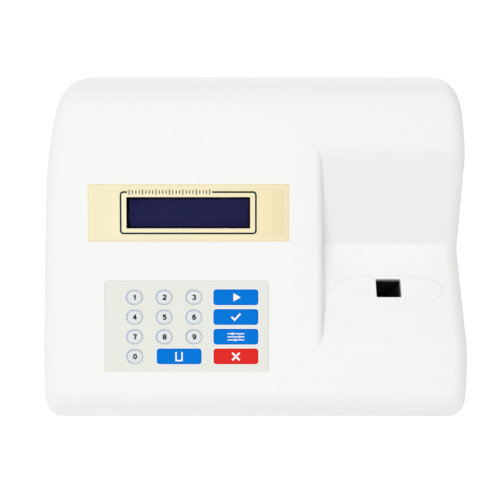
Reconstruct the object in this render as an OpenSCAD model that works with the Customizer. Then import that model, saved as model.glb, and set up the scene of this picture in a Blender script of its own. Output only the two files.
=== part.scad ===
// Bench-top bilirubin meter: a moulded cover with a sloping deck, a display panel, a keypad and a
// stepped-down cuvette bay, over a base plate that carries the photometer, the circuit board and the
// mains parts. Millimetres. X to the right, Y to the back, Z up, the table at Z = 0.

/* [Case] */
// Width of the cover at its rim
case_w = 282; // [264:1:300]
// Depth of the cover
case_d = 208; // [200:1:220]
// Height of the cover's rim above the table
rim_z = 4; // [3:0.5:6]
// Height at which the plane of the deck meets the front wall
deck_front_z = 44.6; // [43:0.2:48]
// Slope of the deck
deck_slope = 23; // [21:0.5:26]
// Thickness of the cover
wall = 3; // [2.6:0.1:3.4]
// Draft of the side walls
side_draft = 3; // [1:0.5:4]
// Radius of the rolled edge along the sides
side_roll = 11.5; // [7:0.5:12]
// Radius of the rolled edge at the back
rear_roll = 22; // [16:1:26]
// Radius of the rolled edge at the front
front_roll = 14; // [10:1:16]
// Width of the soft left rear corner in plan
rear_corner_w = 25; // [18:1:38]
// Depth of the soft left rear corner in plan
rear_corner_d = 87; // [56:1:92]
// Width of the right rear corner in plan
right_corner_w = 16; // [12:1:38]
// Depth of the right rear corner in plan
right_corner_d = 56; // [40:1:90]
// How far the sides draw in towards the front
front_corner = 3.4; // [2:0.1:8]
// Depth over which the sides draw in
front_corner_d = 36; // [16:1:50]

/* [Cuvette bay] */
// Height of the level platform
platform_z = 60.4; // [59:0.1:64]
// Distance from the front to where the sloped rear face meets the platform
bay_back_y = 106; // [103:0.5:111]
// Angle of the sloped rear face
bay_back_angle = 46.8; // [42:0.2:52]
// Softness of the crease at the foot of the sloped rear face
bay_blend = 4; // [3:0.5:10]
// Softness of the edges where the bay meets the deck
bay_edge = 2.5; // [2:0.5:8]
// Where the bay's left wall starts, beside the foot of the sloped rear face
bay_x = 40.2; // [36:0.2:46]
// Turn of the left wall in plan, to the right at its front end
bay_skew = 0.9; // [0:0.1:2]
// Radius of the roll at the top of the left wall
step_roll = 3; // [2:0.1:4]
// Fillet at the foot of the left wall
step_fillet = 1.5; // [1:0.1:3]
// Draft of the left wall
step_draft = 6; // [4:0.5:8]

/* [Cuvette slot] */
// Slot width
slot_w = 16.4; // [15.5:0.1:17.5]
// Slot depth
slot_d = 12.6; // [12:0.1:13.5]
// Distance of the slot's centre from the right side of the case
slot_side = 53; // [49:0.2:56]
// Distance of the slot's centre from the front of the case
slot_y = 75; // [73:0.2:79]
// Width of the raised oval pad round the slot
pad_w = 75; // [66:1:76]
// Depth of the pad from front to back
pad_d = 22; // [20:0.5:26]
// How far the pad's centre lies to the left of the slot's
pad_shift = 1.2; // [0:0.1:2]
// How far the pad's centre lies in front of the slot's
pad_lead = 1.2; // [0:0.1:2]
// How far the pad stands above the platform
pad_rise = 0.7; // [0.5:0.1:1.2]
// Height of the well's floor above the optics plate
well_floor = 10; // [8:0.5:12]
// Height of the light beam above the well's floor
beam_up = 15; // [14:0.5:17]

/* [Display] */
// Width of the cream display panel
panel_w = 128.2; // [123:0.2:133]
// Height of the display panel, along the deck
panel_h = 36.3; // [34:0.1:39]
// Thickness of the display panel
panel_t = 1.2; // [0.8:0.1:1.8]
// Position of the panel's centre from side to side
panel_x = -42.9; // [-46:0.1:-40]
// Position of the panel's centre along the deck from the front
panel_u = 124.8; // [123:0.1:128]
// Width of the window
window_w = 79; // [74:0.5:82]
// Height of the window
window_h = 20; // [18:0.5:21]

/* [Keypad] */
// Width of the keypad overlay
keypad_w = 105.4; // [104:0.2:110]
// Height of the keypad overlay, along the deck
keypad_h = 59; // [58:0.2:62]
// Position of the overlay's centre from side to side
keypad_x = -44.3; // [-48:0.1:-42]
// Position of the overlay's centre along the deck from the front
keypad_u = 51.9; // [50:0.1:55]
// Pitch of the key rows
row_pitch = 12.7; // [12.4:0.1:13]
// Pitch of the number key columns
column_pitch = 19; // [17:0.1:19.2]
// Length of a number key
key_w = 10.5; // [9.8:0.1:10.8]
// Height of a number key
key_h = 9.3; // [8.6:0.1:9.5]
// Length of a function key
bar_w = 28.3; // [26:0.1:29.5]
// Height of a function key
bar_h = 9.6; // [9:0.1:9.7]
// How far the keys stand above the overlay
key_rise = 0.6; // [0.5:0.1:1]

/* [Rear bay] */
// Width of the recess in the back wall
rear_bay_w = 100; // [98:1:106]
// Height of the recess
rear_bay_h = 42; // [42:1:46]
// Depth of the recess
rear_bay_depth = 8; // [7.5:0.1:10]
// Position of the recess from side to side
rear_bay_x = -52; // [-54:1:-48]
// Height of the recess's centre
rear_bay_z = 53; // [52:1:60]

/* [Base] */
// Thickness of the base plate
plate_t = 2; // [1.5:0.1:3]
// Diameter of the rubber feet
foot_dia = 18; // [14:1:22]

/* [Hidden] */
$fn = 48;
// Gap between pieces that slide or fit in each other
fit = 0.3;
// Overlap that keeps cuts clean
eps = 1;
half_w = case_w / 2;
half_d = case_d / 2;
bay_foot_y = bay_back_y - half_d;
slot_mid_y = slot_y - half_d;

// Heights of the base
plate_recess = 1;
plate_z = rim_z + plate_recess;
floor_z = plate_z + plate_t;

// Rolled edges: axes of the front and rear rolls
function deck_plane(y) = deck_front_z + (y + half_d) * tan(deck_slope);
front_axis_y = front_roll - half_d;
front_axis_z = deck_plane(front_axis_y) - front_roll / cos(deck_slope);
rear_axis_y = half_d - rear_roll;
rear_axis_z = deck_plane(rear_axis_y) - rear_roll / cos(deck_slope);

// Cross-section counts
roll_steps = 6;
step_steps = 4;

// The bay's left wall, h high, as distances to the right and down from where it leaves the deck: a roll,
// a drafted wall and a fillet at the foot. A wall lower than both turns leans more.
step_least = 0.6;
function step_profile(h) =
    let (
        high = max(h, step_least),
        turns = step_roll + step_fillet,
        lean = max(step_draft, asin(max(-1, 1 - high / turns))),
        upright = high - turns * (1 - sin(lean)),
        across = turns * cos(lean) + upright * tan(lean),
        share = h / high,
        angles = [for (k = [0:step_steps]) 90 - (90 - lean) * k / step_steps])
    concat(
        [for (a = angles) [step_roll * cos(a), share * step_roll * (1 - sin(a))]],
        [for (k = [step_steps:-1:0]) let (a = angles[k])
            [across - step_fillet * cos(a), h - share * step_fillet * (1 - sin(a))]]);

// Where the platform runs out into the deck at the front of the bay, and the sloped face at the back
bay_front_y = (platform_z - deck_front_z) / tan(deck_slope) - half_d;
bay_head_y = bay_foot_y
    + (deck_plane(bay_foot_y) - platform_z) / (tan(bay_back_angle) - tan(deck_slope));

// Numbers from low to high, each once
function in_order(v) = len(v) == 0 ? [] :
    let (middle = v[floor(len(v) / 2)])
    concat(
        in_order([for (n = v) if (n < middle) n]),
        [middle],
        in_order([for (n = v) if (n > middle) n]));

// Stations from front to back: the front roll, the creases of the bay and the rear roll with its corners
front_run = max(front_roll, front_corner_d);
rear_run = max(rear_roll, rear_corner_d, right_corner_d);
front_turns = [0, 3, 6, 9, 12, 16, 20, 25, 31, 38, 48, 60, 76];
rear_turns = [90, 80, 71, 60, 52, 44, 37, 31, 26, 21, 17, 13, 9, 6, 3, 0];
crease_turns = [-1, -0.7, -0.4, -0.13, 0.13, 0.4, 0.7, 1];
front_crease = bay_edge / tan(deck_slope);
foot_crease = bay_blend / tan(bay_back_angle);
head_crease = bay_edge / (tan(bay_back_angle) - tan(deck_slope));
stations = in_order(concat(
    [for (a = front_turns) front_run * (1 - cos(a)) - half_d],
    [for (k = crease_turns) bay_front_y + front_crease * k],
    [for (k = crease_turns) bay_foot_y + foot_crease * k],
    [for (k = crease_turns) bay_head_y + head_crease * k],
    [for (a = rear_turns) half_d - rear_run * (1 - cos(a))]));

// Positions
slot_x = half_w - slot_side;
optics_t = 3;
optics_w = 54;
optics_z = floor_z + optics_t;
well_z = optics_z + well_floor;
beam_z = well_z + beam_up;
holder_w = 40;
holder_d = 34;
collar_h = 2.2;
collar_t = 2;
cover_gap = 0.3;
holder_top = platform_z - wall - collar_h - cover_gap;
holder_front_y = slot_mid_y - holder_d / 2;
holder_back_y = slot_mid_y + holder_d / 2;

// Photometer sizes
beam_dia = 6;
tube_dia = 26;
tube_bore = 20;
tube_len = 26;
tube_lip = 2;
lens_fit = 0.1;
lens_dia = tube_bore - 2 * lens_fit;
lens_edge = 2;
lens_bulge = 4;
lens_seat = 10;
lamp_block = [36, 30, 44];
lamp_bore = 16;
lamp_floor = 4;
lamp_port_r = 5;
lamp_socket_h = 11;
lamp_pin_gap = 2;
lamp_pin_r = 0.5;
lamp_pin_len = 5;
lamp_y = holder_back_y + tube_len + lamp_block[1] / 2;
detector_over = 13;
detector_block = [40, 32, beam_z + detector_over - optics_z];
seat_dia = 13;
seat_fit = 0.1;
filter_t = 3;
diode_t = 5;
detector_y = holder_front_y - detector_block[1] / 2;
plate_front = 8;
plate_back = 13;
optics_front_y = holder_front_y - detector_block[1] - plate_front;
optics_back_y = holder_back_y + tube_len + lamp_block[1] + plate_back;

// Deck stack, as heights along the deck's normal
pocket_sink = 1.2;
pocket_margin = 1.2;
circuit_t = 0.3;
overlay_t = 0.4;
flange_t = 0.3;
flange_w = 0.8;
dome_h = 0.42;
dome_r = 3.2;
dome_t = 0.1;
plunger_drop = 0.45;
key_top = overlay_t + key_rise;
tail_w = 20;
tail_t = 0.4;
tail_slot = [tail_w + 2, 4];
tail_inset = 4;
tail_side = 30;
tail_x = keypad_x + tail_side;
tail_u = keypad_u + keypad_h / 2 - tail_inset;
window_t = 2.5;
window_seat = 4;
bezel_border = 8.5;
bezel_lip = 1;
bezel_sight = 1;
glass_t = 2.2;
glass_over = 2.8;
backlight_t = 1.8;
bezel_t = bezel_lip + glass_t + backlight_t;
lcd_board_t = 1.6;
lcd_board_border = [17, 12.5];
lcd_board_w = window_w + 2 * lcd_board_border[0];
lcd_board_h = window_h + 2 * lcd_board_border[1];
stud_inset = [4, 5];
stud_x = lcd_board_w / 2 - stud_inset[0];
stud_u = lcd_board_h / 2 - stud_inset[1];

// Main board
board_w = 110;
board_room = [22, 100];
board_d = case_d - board_room[0] - board_room[1];
board_t = 1.6;
board_shift = -2;
board_x = panel_x + board_shift;
board_y = board_room[0] + board_d / 2 - half_d;
standoff_h = 8;
standoff_r = 3;
standoff_foot = 1;
board_z = floor_z + standoff_h;
board_top = board_z + board_t;
board_inset = 5;

// Screws: M3 with a pan head
screw_r = 1.5;
screw_len = 6;
screw_hole_r = 1.6;
head_r = 2.8;
head_h = 1.8;

// Rear parts
bay_floor_t = 3;
bay_wall = 3;
bay_ledge = 8;
bay_sill = 2;
panel_metal = 2;
bay_floor_y = half_d - rear_bay_depth;
panel_y = bay_floor_y + panel_metal;
inlet_body = [30, 24, 34];
inlet_flange = [50, 2.5, 37];
inlet_side = 7;
inlet_x = rear_bay_x - rear_bay_w / 2 + inlet_side + inlet_flange[0] / 2;
inlet_cavity = [24, 17, 16];
cavity_up = 6.5;
drawer_down = 10.5;
drawer_body = [24, 12, 7];
drawer_face = [27, 2, 8.5];
fuse_dia = 5;
fuse_len = 20;
fuse_room = 0.5;
trough_in = 2.5;
trough_floor = 1.2;
switch_body_size = [12.6, 15, 20];
switch_bezel = [16, 2, 23];
switch_side = 13;
switch_x = rear_bay_x + rear_bay_w / 2 - switch_side - switch_bezel[0] / 2;
rocker_half = 7.2;
rocker_w = 9;
rocker_tilt = 10;
rocker_swing = 1.2;
pivot_r = 1.2;
pivot_fit = 0.1;
pivot_sink = 0.5;
pivot_y = panel_y - pivot_sink;
pivot_len = 11.4;
pivot_end = 0.3;

// Feet and cover fixings
foot_inset = [20, 32];
foot_x = half_w - foot_inset[0];
foot_y = half_d - foot_inset[1];
foot_stem_r = 3;
block_size = [14, 12, 20];
block_inset = 30;
block_turn = 18;
block_mid = 20;
block_front_x = half_w - block_inset;
block_back_x = half_w - max(rear_corner_w, right_corner_w) - block_turn;
block_sites = [
    [-block_front_x, -1], [block_mid, -1], [block_front_x, -1],
    [-block_back_x, 1], [block_mid, 1], [block_back_x, 1]];

// Helpers

// Softened minimum and maximum of two heights
function smooth_min(a, b, k) = min(a, b) - pow(max(k - abs(a - b), 0), 2) / (4 * k);
function smooth_max(a, b, k) = -smooth_min(-a, -b, k);

// Height of a circle of radius r at distance d from its axis
function arc_up(r, d) = sqrt(max(0, r * r - d * d));

// Deck height along the case, i millimetres inside the outer skin
function deck_top(y, i) =
    y < front_axis_y - (front_roll - i) * sin(deck_slope)
        ? front_axis_z + arc_up(front_roll - i, y - front_axis_y)
    : y > rear_axis_y - (rear_roll - i) * sin(deck_slope)
        ? rear_axis_z + arc_up(rear_roll - i, y - rear_axis_y)
    : deck_plane(y) - i / cos(deck_slope);

// Height of the bay's platform and sloped rear face
function bay_floor(y, i) = smooth_max(
    platform_z - i,
    platform_z + (y - bay_foot_y) * tan(bay_back_angle) - i / cos(bay_back_angle),
    bay_blend);
function bay_top(y, i) = smooth_min(deck_top(y, i), bay_floor(y, i), bay_edge);

// Drop of an elliptical corner, from 0 where it starts to 1 where it ends
function corner_drop(d, run) = 1 - sqrt(max(0, 1 - pow(d / run, 2)));

// Half width of the rim along the case, at the left (side -1) or the right (side 1)
function base_half(y, i, side) =
    let (corner = side < 0 ? [rear_corner_w, rear_corner_d] : [right_corner_w, right_corner_d])
    half_w - i - (
        y > half_d - corner[1]
            ? corner[0] * corner_drop(y - half_d + corner[1], corner[1] - i)
        : y < front_corner_d - half_d
            ? front_corner * corner_drop(front_corner_d - half_d - y, front_corner_d - i)
        : 0);
function wall_x(y, z, i, side) = base_half(y, i, side) - (z - rim_z) * tan(side_draft);

// Cross-section of the cover from the left rim over the deck and the bay to the right rim
function section(y, i) =
    let (zl = deck_top(y, i), zr = bay_top(y, i), r = side_roll - i)
    let (xl = wall_x(y, zl - r, i, -1) - r, xr = wall_x(y, zr - r, i, 1) - r)
    concat(
        [[-base_half(y, i, -1), rim_z]],
        [for (k = [0:roll_steps]) let (a = 180 - 90 * k / roll_steps)
            [-xl + r * cos(a), zl - r + r * sin(a)]],
        [for (p = step_profile(zl - zr)) [bay_x - i + (bay_foot_y - y) * tan(bay_skew) + p[0], zl - p[1]]],
        [for (k = [0:roll_steps]) let (a = 90 - 90 * k / roll_steps)
            [xr + r * cos(a), zr - r + r * sin(a)]],
        [[base_half(y, i, 1), rim_z]]);

// A point of the deck in the plane of a cross-section from front to back
function deck_yz(u, w) = [
    u * cos(deck_slope) - w * sin(deck_slope) - half_d,
    deck_front_z + u * sin(deck_slope) + w * cos(deck_slope)];

// Places children on the deck: x across, u along it from the front, w along its normal
module on_deck(x, u, w = 0) {
    translate([0, -half_d, deck_front_z])
        rotate([deck_slope, 0, 0])
            translate([x, u, w])
                children();
}

module plate(w, h, t) {
    translate([-w / 2, -h / 2, 0])
        cube([w, h, t]);
}

module rounded_rect(w, h, r) {
    square([w - 2 * r, h], center = true);
    square([w, h - 2 * r], center = true);
    for (sx = [-1, 1], sy = [-1, 1])
        translate([sx * (w / 2 - r), sy * (h / 2 - r)])
            circle(r);
}

module oval(w, h) {
    square([w - h, h], center = true);
    for (s = [-1, 1])
        translate([s * (w - h) / 2, 0])
            circle(h / 2);
}

// Cylinder along Y that starts at y = 0 and runs to the back
module rod_y(r, len) {
    rotate([-90, 0, 0])
        cylinder(r = r, h = len);
}

// Cylinder along X, centred
module rod_x(r, len) {
    rotate([0, 90, 0])
        cylinder(r = r, h = len, center = true);
}

// Box centred in x and z that runs from y = 0 to the front by its depth
module box_in(size) {
    translate([-size[0] / 2, -size[1], -size[2] / 2])
        cube(size);
}

// Screw with its head on z = 0 and its shank pointing down
module screw() {
    cylinder(r = head_r, h = head_h);
    translate([0, 0, -screw_len])
        cylinder(r = screw_r, h = screw_len + eps / 2);
}

// Flat strip that follows a path in the Y-Z plane
function path_normal(p, k) =
    let (a = p[max(k - 1, 0)], b = p[min(k + 1, len(p) - 1)], d = (b - a) / norm(b - a))
    [-d[1], d[0]];

module strip(path, w, t) {
    left = [for (k = [0:len(path) - 1]) path[k] + path_normal(path, k) * t / 2];
    right = [for (k = [len(path) - 1:-1:0]) path[k] - path_normal(path, k) * t / 2];
    rotate([90, 0, 90])
        translate([0, 0, -w / 2])
            linear_extrude(w)
                polygon(concat(left, right));
}

// Cover

module cover_skin() {
    shrink = 1 - wall / half_d;
    n = len(section(0, 0));
    m = len(stations);
    inside = n * m;
    last = (m - 1) * n;
    e = n - 1;
    outer = [for (y = stations) for (p = section(y, 0)) [p[0], y, p[1]]];
    inner = [for (y = stations) for (p = section(y * shrink, wall)) [p[0], y * shrink, p[1]]];
    skin = [for (j = [0:m - 2]) for (i = [0:n - 2]) let (a = j * n + i, d = a + n)
        each [[a, d, d + 1], [a, d + 1, a + 1]]];
    lining = [for (f = skin) [f[2] + inside, f[1] + inside, f[0] + inside]];
    ends = [
        [for (i = [0:e]) i],
        [for (i = [e:-1:0]) last + i],
        [for (i = [e:-1:0]) inside + i],
        [for (i = [0:e]) inside + last + i]];
    left_rim = [for (j = [0:m - 2]) let (a = j * n, d = a + n) [d, a, a + inside, d + inside]];
    right_rim = [for (j = [0:m - 2]) let (a = j * n + e, d = a + n) [a, d, d + inside, a + inside]];
    end_rims = [[0, e, inside + e, inside], [last + e, last, inside + last, inside + last + e]];
    polyhedron(
        points = concat(outer, inner),
        faces = concat(skin, lining, ends, left_rim, right_rim, end_rims),
        convexity = 8);
}

// Outline between an ellipse and a rectangle: fullness 1 is an ellipse, less is fuller
function full_oval(c, fullness) = sign(c) * pow(abs(c), fullness);

module slot_pad() {
    fullness = 0.83;
    slant = 1.6;
    outline = [for (a = [0:8:352])
        [full_oval(cos(a), fullness) * pad_w / 2, full_oval(sin(a), fullness) * pad_d / 2]];
    translate([slot_x - pad_shift, slot_mid_y - pad_lead, platform_z]) {
        linear_extrude(pad_rise, slices = 1, scale = [1 - 2 * slant / pad_w, 1 - 2 * slant / pad_d])
            polygon(outline);
        translate([0, 0, -wall / 2])
            linear_extrude(wall / 2)
                polygon(outline);
    }
}

// Collar under the platform that guides the cuvette and keeps stray light out of the well
module slot_collar() {
    translate([
        slot_x - slot_w / 2 - collar_t,
        slot_mid_y - slot_d / 2 - collar_t,
        platform_z - wall - collar_h])
        cube([slot_w + 2 * collar_t, slot_d + 2 * collar_t, collar_h + wall / 2]);
}

module rear_bay_block() {
    translate([
        rear_bay_x - rear_bay_w / 2 - bay_wall,
        bay_floor_y - bay_floor_t,
        rear_bay_z - rear_bay_h / 2 - bay_wall])
        cube([
            rear_bay_w + 2 * bay_wall,
            rear_bay_depth + bay_floor_t - wall / 2,
            rear_bay_h + 2 * bay_wall]);
}

module rear_bay_cut() {
    translate([rear_bay_x - rear_bay_w / 2, bay_floor_y, rear_bay_z - rear_bay_h / 2])
        cube([rear_bay_w, rear_bay_depth + eps, rear_bay_h]);
    translate([
        rear_bay_x - rear_bay_w / 2 + bay_ledge,
        bay_floor_y - bay_floor_t - eps,
        rear_bay_z - rear_bay_h / 2 + bay_sill])
        cube([rear_bay_w - 2 * bay_ledge, bay_floor_t + 2 * eps, rear_bay_h - 2 * bay_sill]);
    panel_screw_sites()
        translate([0, -panel_metal - bay_floor_t - eps, 0])
            rod_y(screw_hole_r, bay_floor_t + 2 * eps);
}

module top_cover() {
    color([0.95, 0.95, 0.94])
        difference() {
            union() {
                cover_skin();
                rear_bay_block();
                slot_pad();
                slot_collar();
            }
            rear_bay_cut();
            translate([slot_x, slot_mid_y, platform_z])
                translate([-slot_w / 2, -slot_d / 2, -2 * wall])
                    cube([slot_w, slot_d, 4 * wall]);
            on_deck(panel_x, panel_u, -2 * wall)
                plate(window_w + 2 * window_seat, window_h + 2 * window_seat, 3 * wall);
            on_deck(keypad_x, keypad_u, -pocket_sink)
                plate(keypad_w - 2 * pocket_margin, keypad_h - 2 * pocket_margin, pocket_sink + eps);
            on_deck(tail_x, tail_u, -2 * wall)
                plate(tail_slot[0], tail_slot[1], 3 * wall);
        }
}

// Base

base_clear = 0.5;

module base_outline() {
    i = wall + base_clear;
    shrink = 1 - i / half_d;
    right = [for (y = stations) [base_half(y * shrink, i, 1), y * shrink]];
    left = [for (k = [len(stations) - 1:-1:0]) let (y = stations[k] * shrink) [-base_half(y, i, -1), y]];
    polygon(concat(right, left));
}

module at_feet() {
    for (sx = [-1, 1], sy = [-1, 1])
        translate([sx * foot_x, sy * foot_y, 0])
            children();
}

module at_blocks() {
    for (s = block_sites)
        translate([s[0], s[1] * (half_d - wall - block_size[1] / 2), 0])
            children();
}

module vent_slots() {
    vent = [26, 3];
    pitch = 8;
    count = 5;
    first = 4;
    vent_y = core_y + first;
    for (k = [0:count - 1])
        translate([rear_bay_x, vent_y + pitch * k, plate_z - eps])
            linear_extrude(plate_t + 2 * eps)
                oval(vent[0], vent[1]);
}

module base_plate() {
    color([0.62, 0.63, 0.64])
        difference() {
            translate([0, 0, plate_z])
                linear_extrude(plate_t)
                    base_outline();
            at_feet()
                translate([0, 0, plate_z - eps])
                    cylinder(r = foot_stem_r + fit, h = plate_t + 2 * eps);
            at_blocks()
                translate([0, 0, plate_z - eps])
                    cylinder(r = screw_hole_r, h = plate_t + 2 * eps);
            at_optics_screws()
                translate([0, 0, plate_z - eps])
                    cylinder(r = screw_hole_r, h = plate_t + 2 * eps);
            vent_slots();
        }
}

module rubber_feet() {
    lip = 1.2;
    taper = 3;
    color([0.12, 0.12, 0.12])
        at_feet() {
            cylinder(d1 = foot_dia - taper, d2 = foot_dia, h = plate_z);
            cylinder(r = foot_stem_r, h = floor_z + lip);
            translate([0, 0, floor_z])
                cylinder(r1 = foot_stem_r + lip, r2 = foot_stem_r, h = lip);
        }
}

module cover_blocks() {
    color([0.93, 0.93, 0.91])
        at_blocks()
            difference() {
                translate([0, 0, floor_z])
                    plate(block_size[0], block_size[1], block_size[2]);
                translate([0, 0, floor_z - eps])
                    cylinder(r = screw_hole_r, h = screw_len + 2 * eps);
            }
}

module cover_screws() {
    color([0.72, 0.72, 0.74])
        at_blocks()
            translate([0, 0, plate_z])
                mirror([0, 0, 1])
                    screw();
}

// Display

// Cuts a shallow bevel along one edge, at a distance of reach from the panel's centre
module panel_bevel(reach, run) {
    bevel_w = 1.7;
    bevel_drop = 0.5;
    slant = atan(bevel_drop / bevel_w);
    translate([reach, 0, panel_t - bevel_drop])
        rotate([0, slant, 0])
            translate([-2 * bevel_w, -run / 2 - eps, 0])
                cube([2 * bevel_w + eps, run + 2 * eps, panel_t]);
}

module display_panel() {
    color([0.95, 0.92, 0.78])
        on_deck(panel_x, panel_u)
            difference() {
                plate(panel_w, panel_h, panel_t);
                translate([0, 0, -eps])
                    plate(window_w, window_h, panel_t + 2 * eps);
                for (turn = [0, 180]) {
                    rotate([0, 0, turn])
                        panel_bevel(panel_w / 2, panel_h);
                    rotate([0, 0, turn + 90])
                        panel_bevel(panel_h / 2, panel_w);
                }
            }
}

module display_window() {
    color([0.75, 0.8, 0.85, 0.4])
        on_deck(panel_x, panel_u, -window_t)
            plate(window_w + 2 * window_seat - fit, window_h + 2 * window_seat - fit, window_t);
}

module lcd_bezel() {
    color([0.06, 0.06, 0.07])
        on_deck(panel_x, panel_u, -wall - bezel_t)
            difference() {
                plate(window_w + 2 * bezel_border, window_h + 2 * bezel_border, bezel_t);
                translate([0, 0, -eps])
                    plate(window_w + bezel_sight, window_h + bezel_sight, bezel_t + 2 * eps);
                translate([0, 0, -eps])
                    plate(
                        window_w + 2 * glass_over + fit,
                        window_h + 2 * glass_over + fit,
                        bezel_t - bezel_lip + eps);
            }
}

module lcd_glass() {
    color([0.12, 0.12, 0.28])
        on_deck(panel_x, panel_u, -wall - bezel_lip - glass_t)
            plate(window_w + 2 * glass_over, window_h + 2 * glass_over, glass_t);
}

module lcd_backlight() {
    color([0.9, 0.92, 0.9])
        on_deck(panel_x, panel_u, -wall - bezel_t)
            plate(window_w + 2 * glass_over, window_h + 2 * glass_over, backlight_t);
}

module at_studs() {
    for (sx = [-1, 1], su = [-1, 1])
        on_deck(panel_x + sx * stud_x, panel_u + su * stud_u, -wall - bezel_t)
            children();
}

module lcd_board() {
    color([0.1, 0.4, 0.2])
        difference() {
            on_deck(panel_x, panel_u, -wall - bezel_t - lcd_board_t)
                plate(lcd_board_w, lcd_board_h, lcd_board_t);
            at_studs()
                translate([0, 0, -lcd_board_t - eps])
                    cylinder(r = screw_hole_r, h = lcd_board_t + 2 * eps);
        }
}

module display_studs() {
    stud_r = 2.6;
    stud_head = 0.4;
    color([0.8, 0.66, 0.3])
        at_studs()
            difference() {
                cylinder(r = stud_r, h = bezel_t);
                translate([0, 0, -eps])
                    cylinder(r = screw_hole_r, h = bezel_t - stud_head + eps);
            }
}

// Routes of the two flat cables, from the deck down to their sockets on the main board
ribbon_w = 26;
ribbon_inset = 5;
ribbon_u = panel_u - lcd_board_h / 2 + ribbon_inset;
lcd_back = wall + bezel_t + lcd_board_t;
bend_drop = 8;
socket_rise = [0, 10];
socket_h = 7;
socket_d = 6;
ribbon_start = deck_yz(ribbon_u, -lcd_back);
ribbon_bend = deck_yz(ribbon_u, -lcd_back - bend_drop);
ribbon_socket_in = 6.3;
ribbon_end = [board_y + board_d / 2 - ribbon_socket_in, board_top + socket_h];
tail_start = deck_yz(tail_u, -pocket_sink);
tail_bend = deck_yz(tail_u, -pocket_sink - bend_drop);
tail_shift = 2;
tail_end = [tail_bend[0] + tail_shift, board_top + socket_h];

module display_ribbon() {
    color([0.78, 0.78, 0.8])
        translate([panel_x, 0, 0])
            strip([ribbon_start, ribbon_bend, ribbon_end + socket_rise, ribbon_end], ribbon_w, tail_t);
}

// Keypad

// Key places: three columns of number keys and one of function keys, with the rest of the overlay's
// width shared between its two margins
columns_gap = 7.6;
left_share = 0.674;
rows_shift = -0.2;
keys_w = key_w + 2 * column_pitch + columns_gap + bar_w;
first_column = keypad_x - keypad_w / 2 + (keypad_w - keys_w) * left_share + key_w / 2;
column_x = [for (k = [0:2]) first_column + k * column_pitch];
row_u = [for (k = [0:3]) keypad_u + rows_shift + (1.5 - k) * row_pitch];
bar_x = column_x[2] + key_w / 2 + columns_gap + bar_w / 2;
wide_x = (column_x[1] + column_x[2]) / 2;

function number_site(d) = d == 0 ? [column_x[0], row_u[3]]
    : [column_x[(d - 1) % 3], row_u[floor((d - 1) / 3)]];
bar_sites = [for (k = [0:3]) [bar_x, row_u[k]]];
wide_site = [wide_x, row_u[3]];

module number_outline(grow = 0) {
    oval(key_w + 2 * grow, key_h + 2 * grow);
}

module bar_outline(grow = 0) {
    corner = 1.6;
    rounded_rect(bar_w + 2 * grow, bar_h + 2 * grow, corner + grow);
}

module all_outlines(grow) {
    for (d = [0:9])
        translate(number_site(d) - [keypad_x, keypad_u])
            number_outline(grow);
    for (s = concat(bar_sites, [wide_site]))
        translate(s - [keypad_x, keypad_u])
            bar_outline(grow);
}

module key_foot() {
    plunger_r = 1.5;
    translate([0, 0, -plunger_drop])
        cylinder(r = plunger_r, h = plunger_drop);
}

module number_key(d) {
    crown_r = 24;
    color([0.89, 0.9, 0.94])
        on_deck(number_site(d)[0], number_site(d)[1]) {
            intersection() {
                translate([0, 0, -flange_t])
                    linear_extrude(flange_t + key_top)
                        number_outline();
                translate([0, 0, key_top - crown_r])
                    sphere(crown_r, $fn = 96);
            }
            translate([0, 0, -flange_t])
                linear_extrude(flange_t)
                    number_outline(flange_w);
            key_foot();
        }
}

module bar_key(site, tint) {
    edge_drop = 0.3;
    edge_in = 0.4;
    color(tint)
        on_deck(site[0], site[1]) {
            translate([0, 0, -flange_t])
                linear_extrude(flange_t + key_top - edge_drop)
                    bar_outline();
            linear_extrude(key_top)
                bar_outline(-edge_in);
            translate([0, 0, -flange_t])
                linear_extrude(flange_t)
                    bar_outline(flange_w);
            key_foot();
        }
}

module keypad_overlay() {
    corner = 2.6;
    color([0.92, 0.93, 0.9])
        on_deck(keypad_x, keypad_u)
            linear_extrude(overlay_t)
                difference() {
                    rounded_rect(keypad_w, keypad_h, corner);
                    all_outlines(fit);
                }
}

module keypad_spacer() {
    spacer_t = pocket_sink - circuit_t;
    color([0.85, 0.85, 0.85])
        on_deck(keypad_x, keypad_u, -spacer_t)
            linear_extrude(spacer_t)
                difference() {
                    square([keypad_w - 2 * pocket_margin - fit, keypad_h - 2 * pocket_margin - fit],
                        center = true);
                    all_outlines(flange_w + fit);
                }
}

module keypad_circuit() {
    color([0.75, 0.6, 0.25])
        on_deck(keypad_x, keypad_u, -pocket_sink)
            plate(keypad_w - 2 * pocket_margin - fit, keypad_h - 2 * pocket_margin - fit, circuit_t);
}

module snap_domes() {
    crown = 0.4;
    shoulder = 0.75;
    rise = 0.7;
    sites = concat([for (d = [0:9]) number_site(d)], bar_sites, [wide_site]);
    outer = [[dome_r, 0], [dome_r * shoulder, dome_h * rise], [dome_r * crown, dome_h], [0, dome_h]];
    inner = [for (k = [3:-1:0]) [max(outer[k][0] - dome_t, 0), max(outer[k][1] - dome_t, 0)]];
    color([0.8, 0.8, 0.82])
        for (s = sites)
            on_deck(s[0], s[1], circuit_t - pocket_sink)
                rotate_extrude()
                    polygon(concat(outer, inner));
}

module keypad_tail() {
    color([0.8, 0.68, 0.4])
        translate([tail_x, 0, 0])
            strip([tail_start, tail_bend, tail_end + socket_rise, tail_end], tail_w, tail_t);
}

// Photometer

module at_optics_screws() {
    inset = 4;
    for (sx = [-1, 1], y = [optics_front_y + inset, optics_back_y - inset])
        translate([slot_x + sx * (optics_w / 2 - inset), y, 0])
            children();
}

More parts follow.
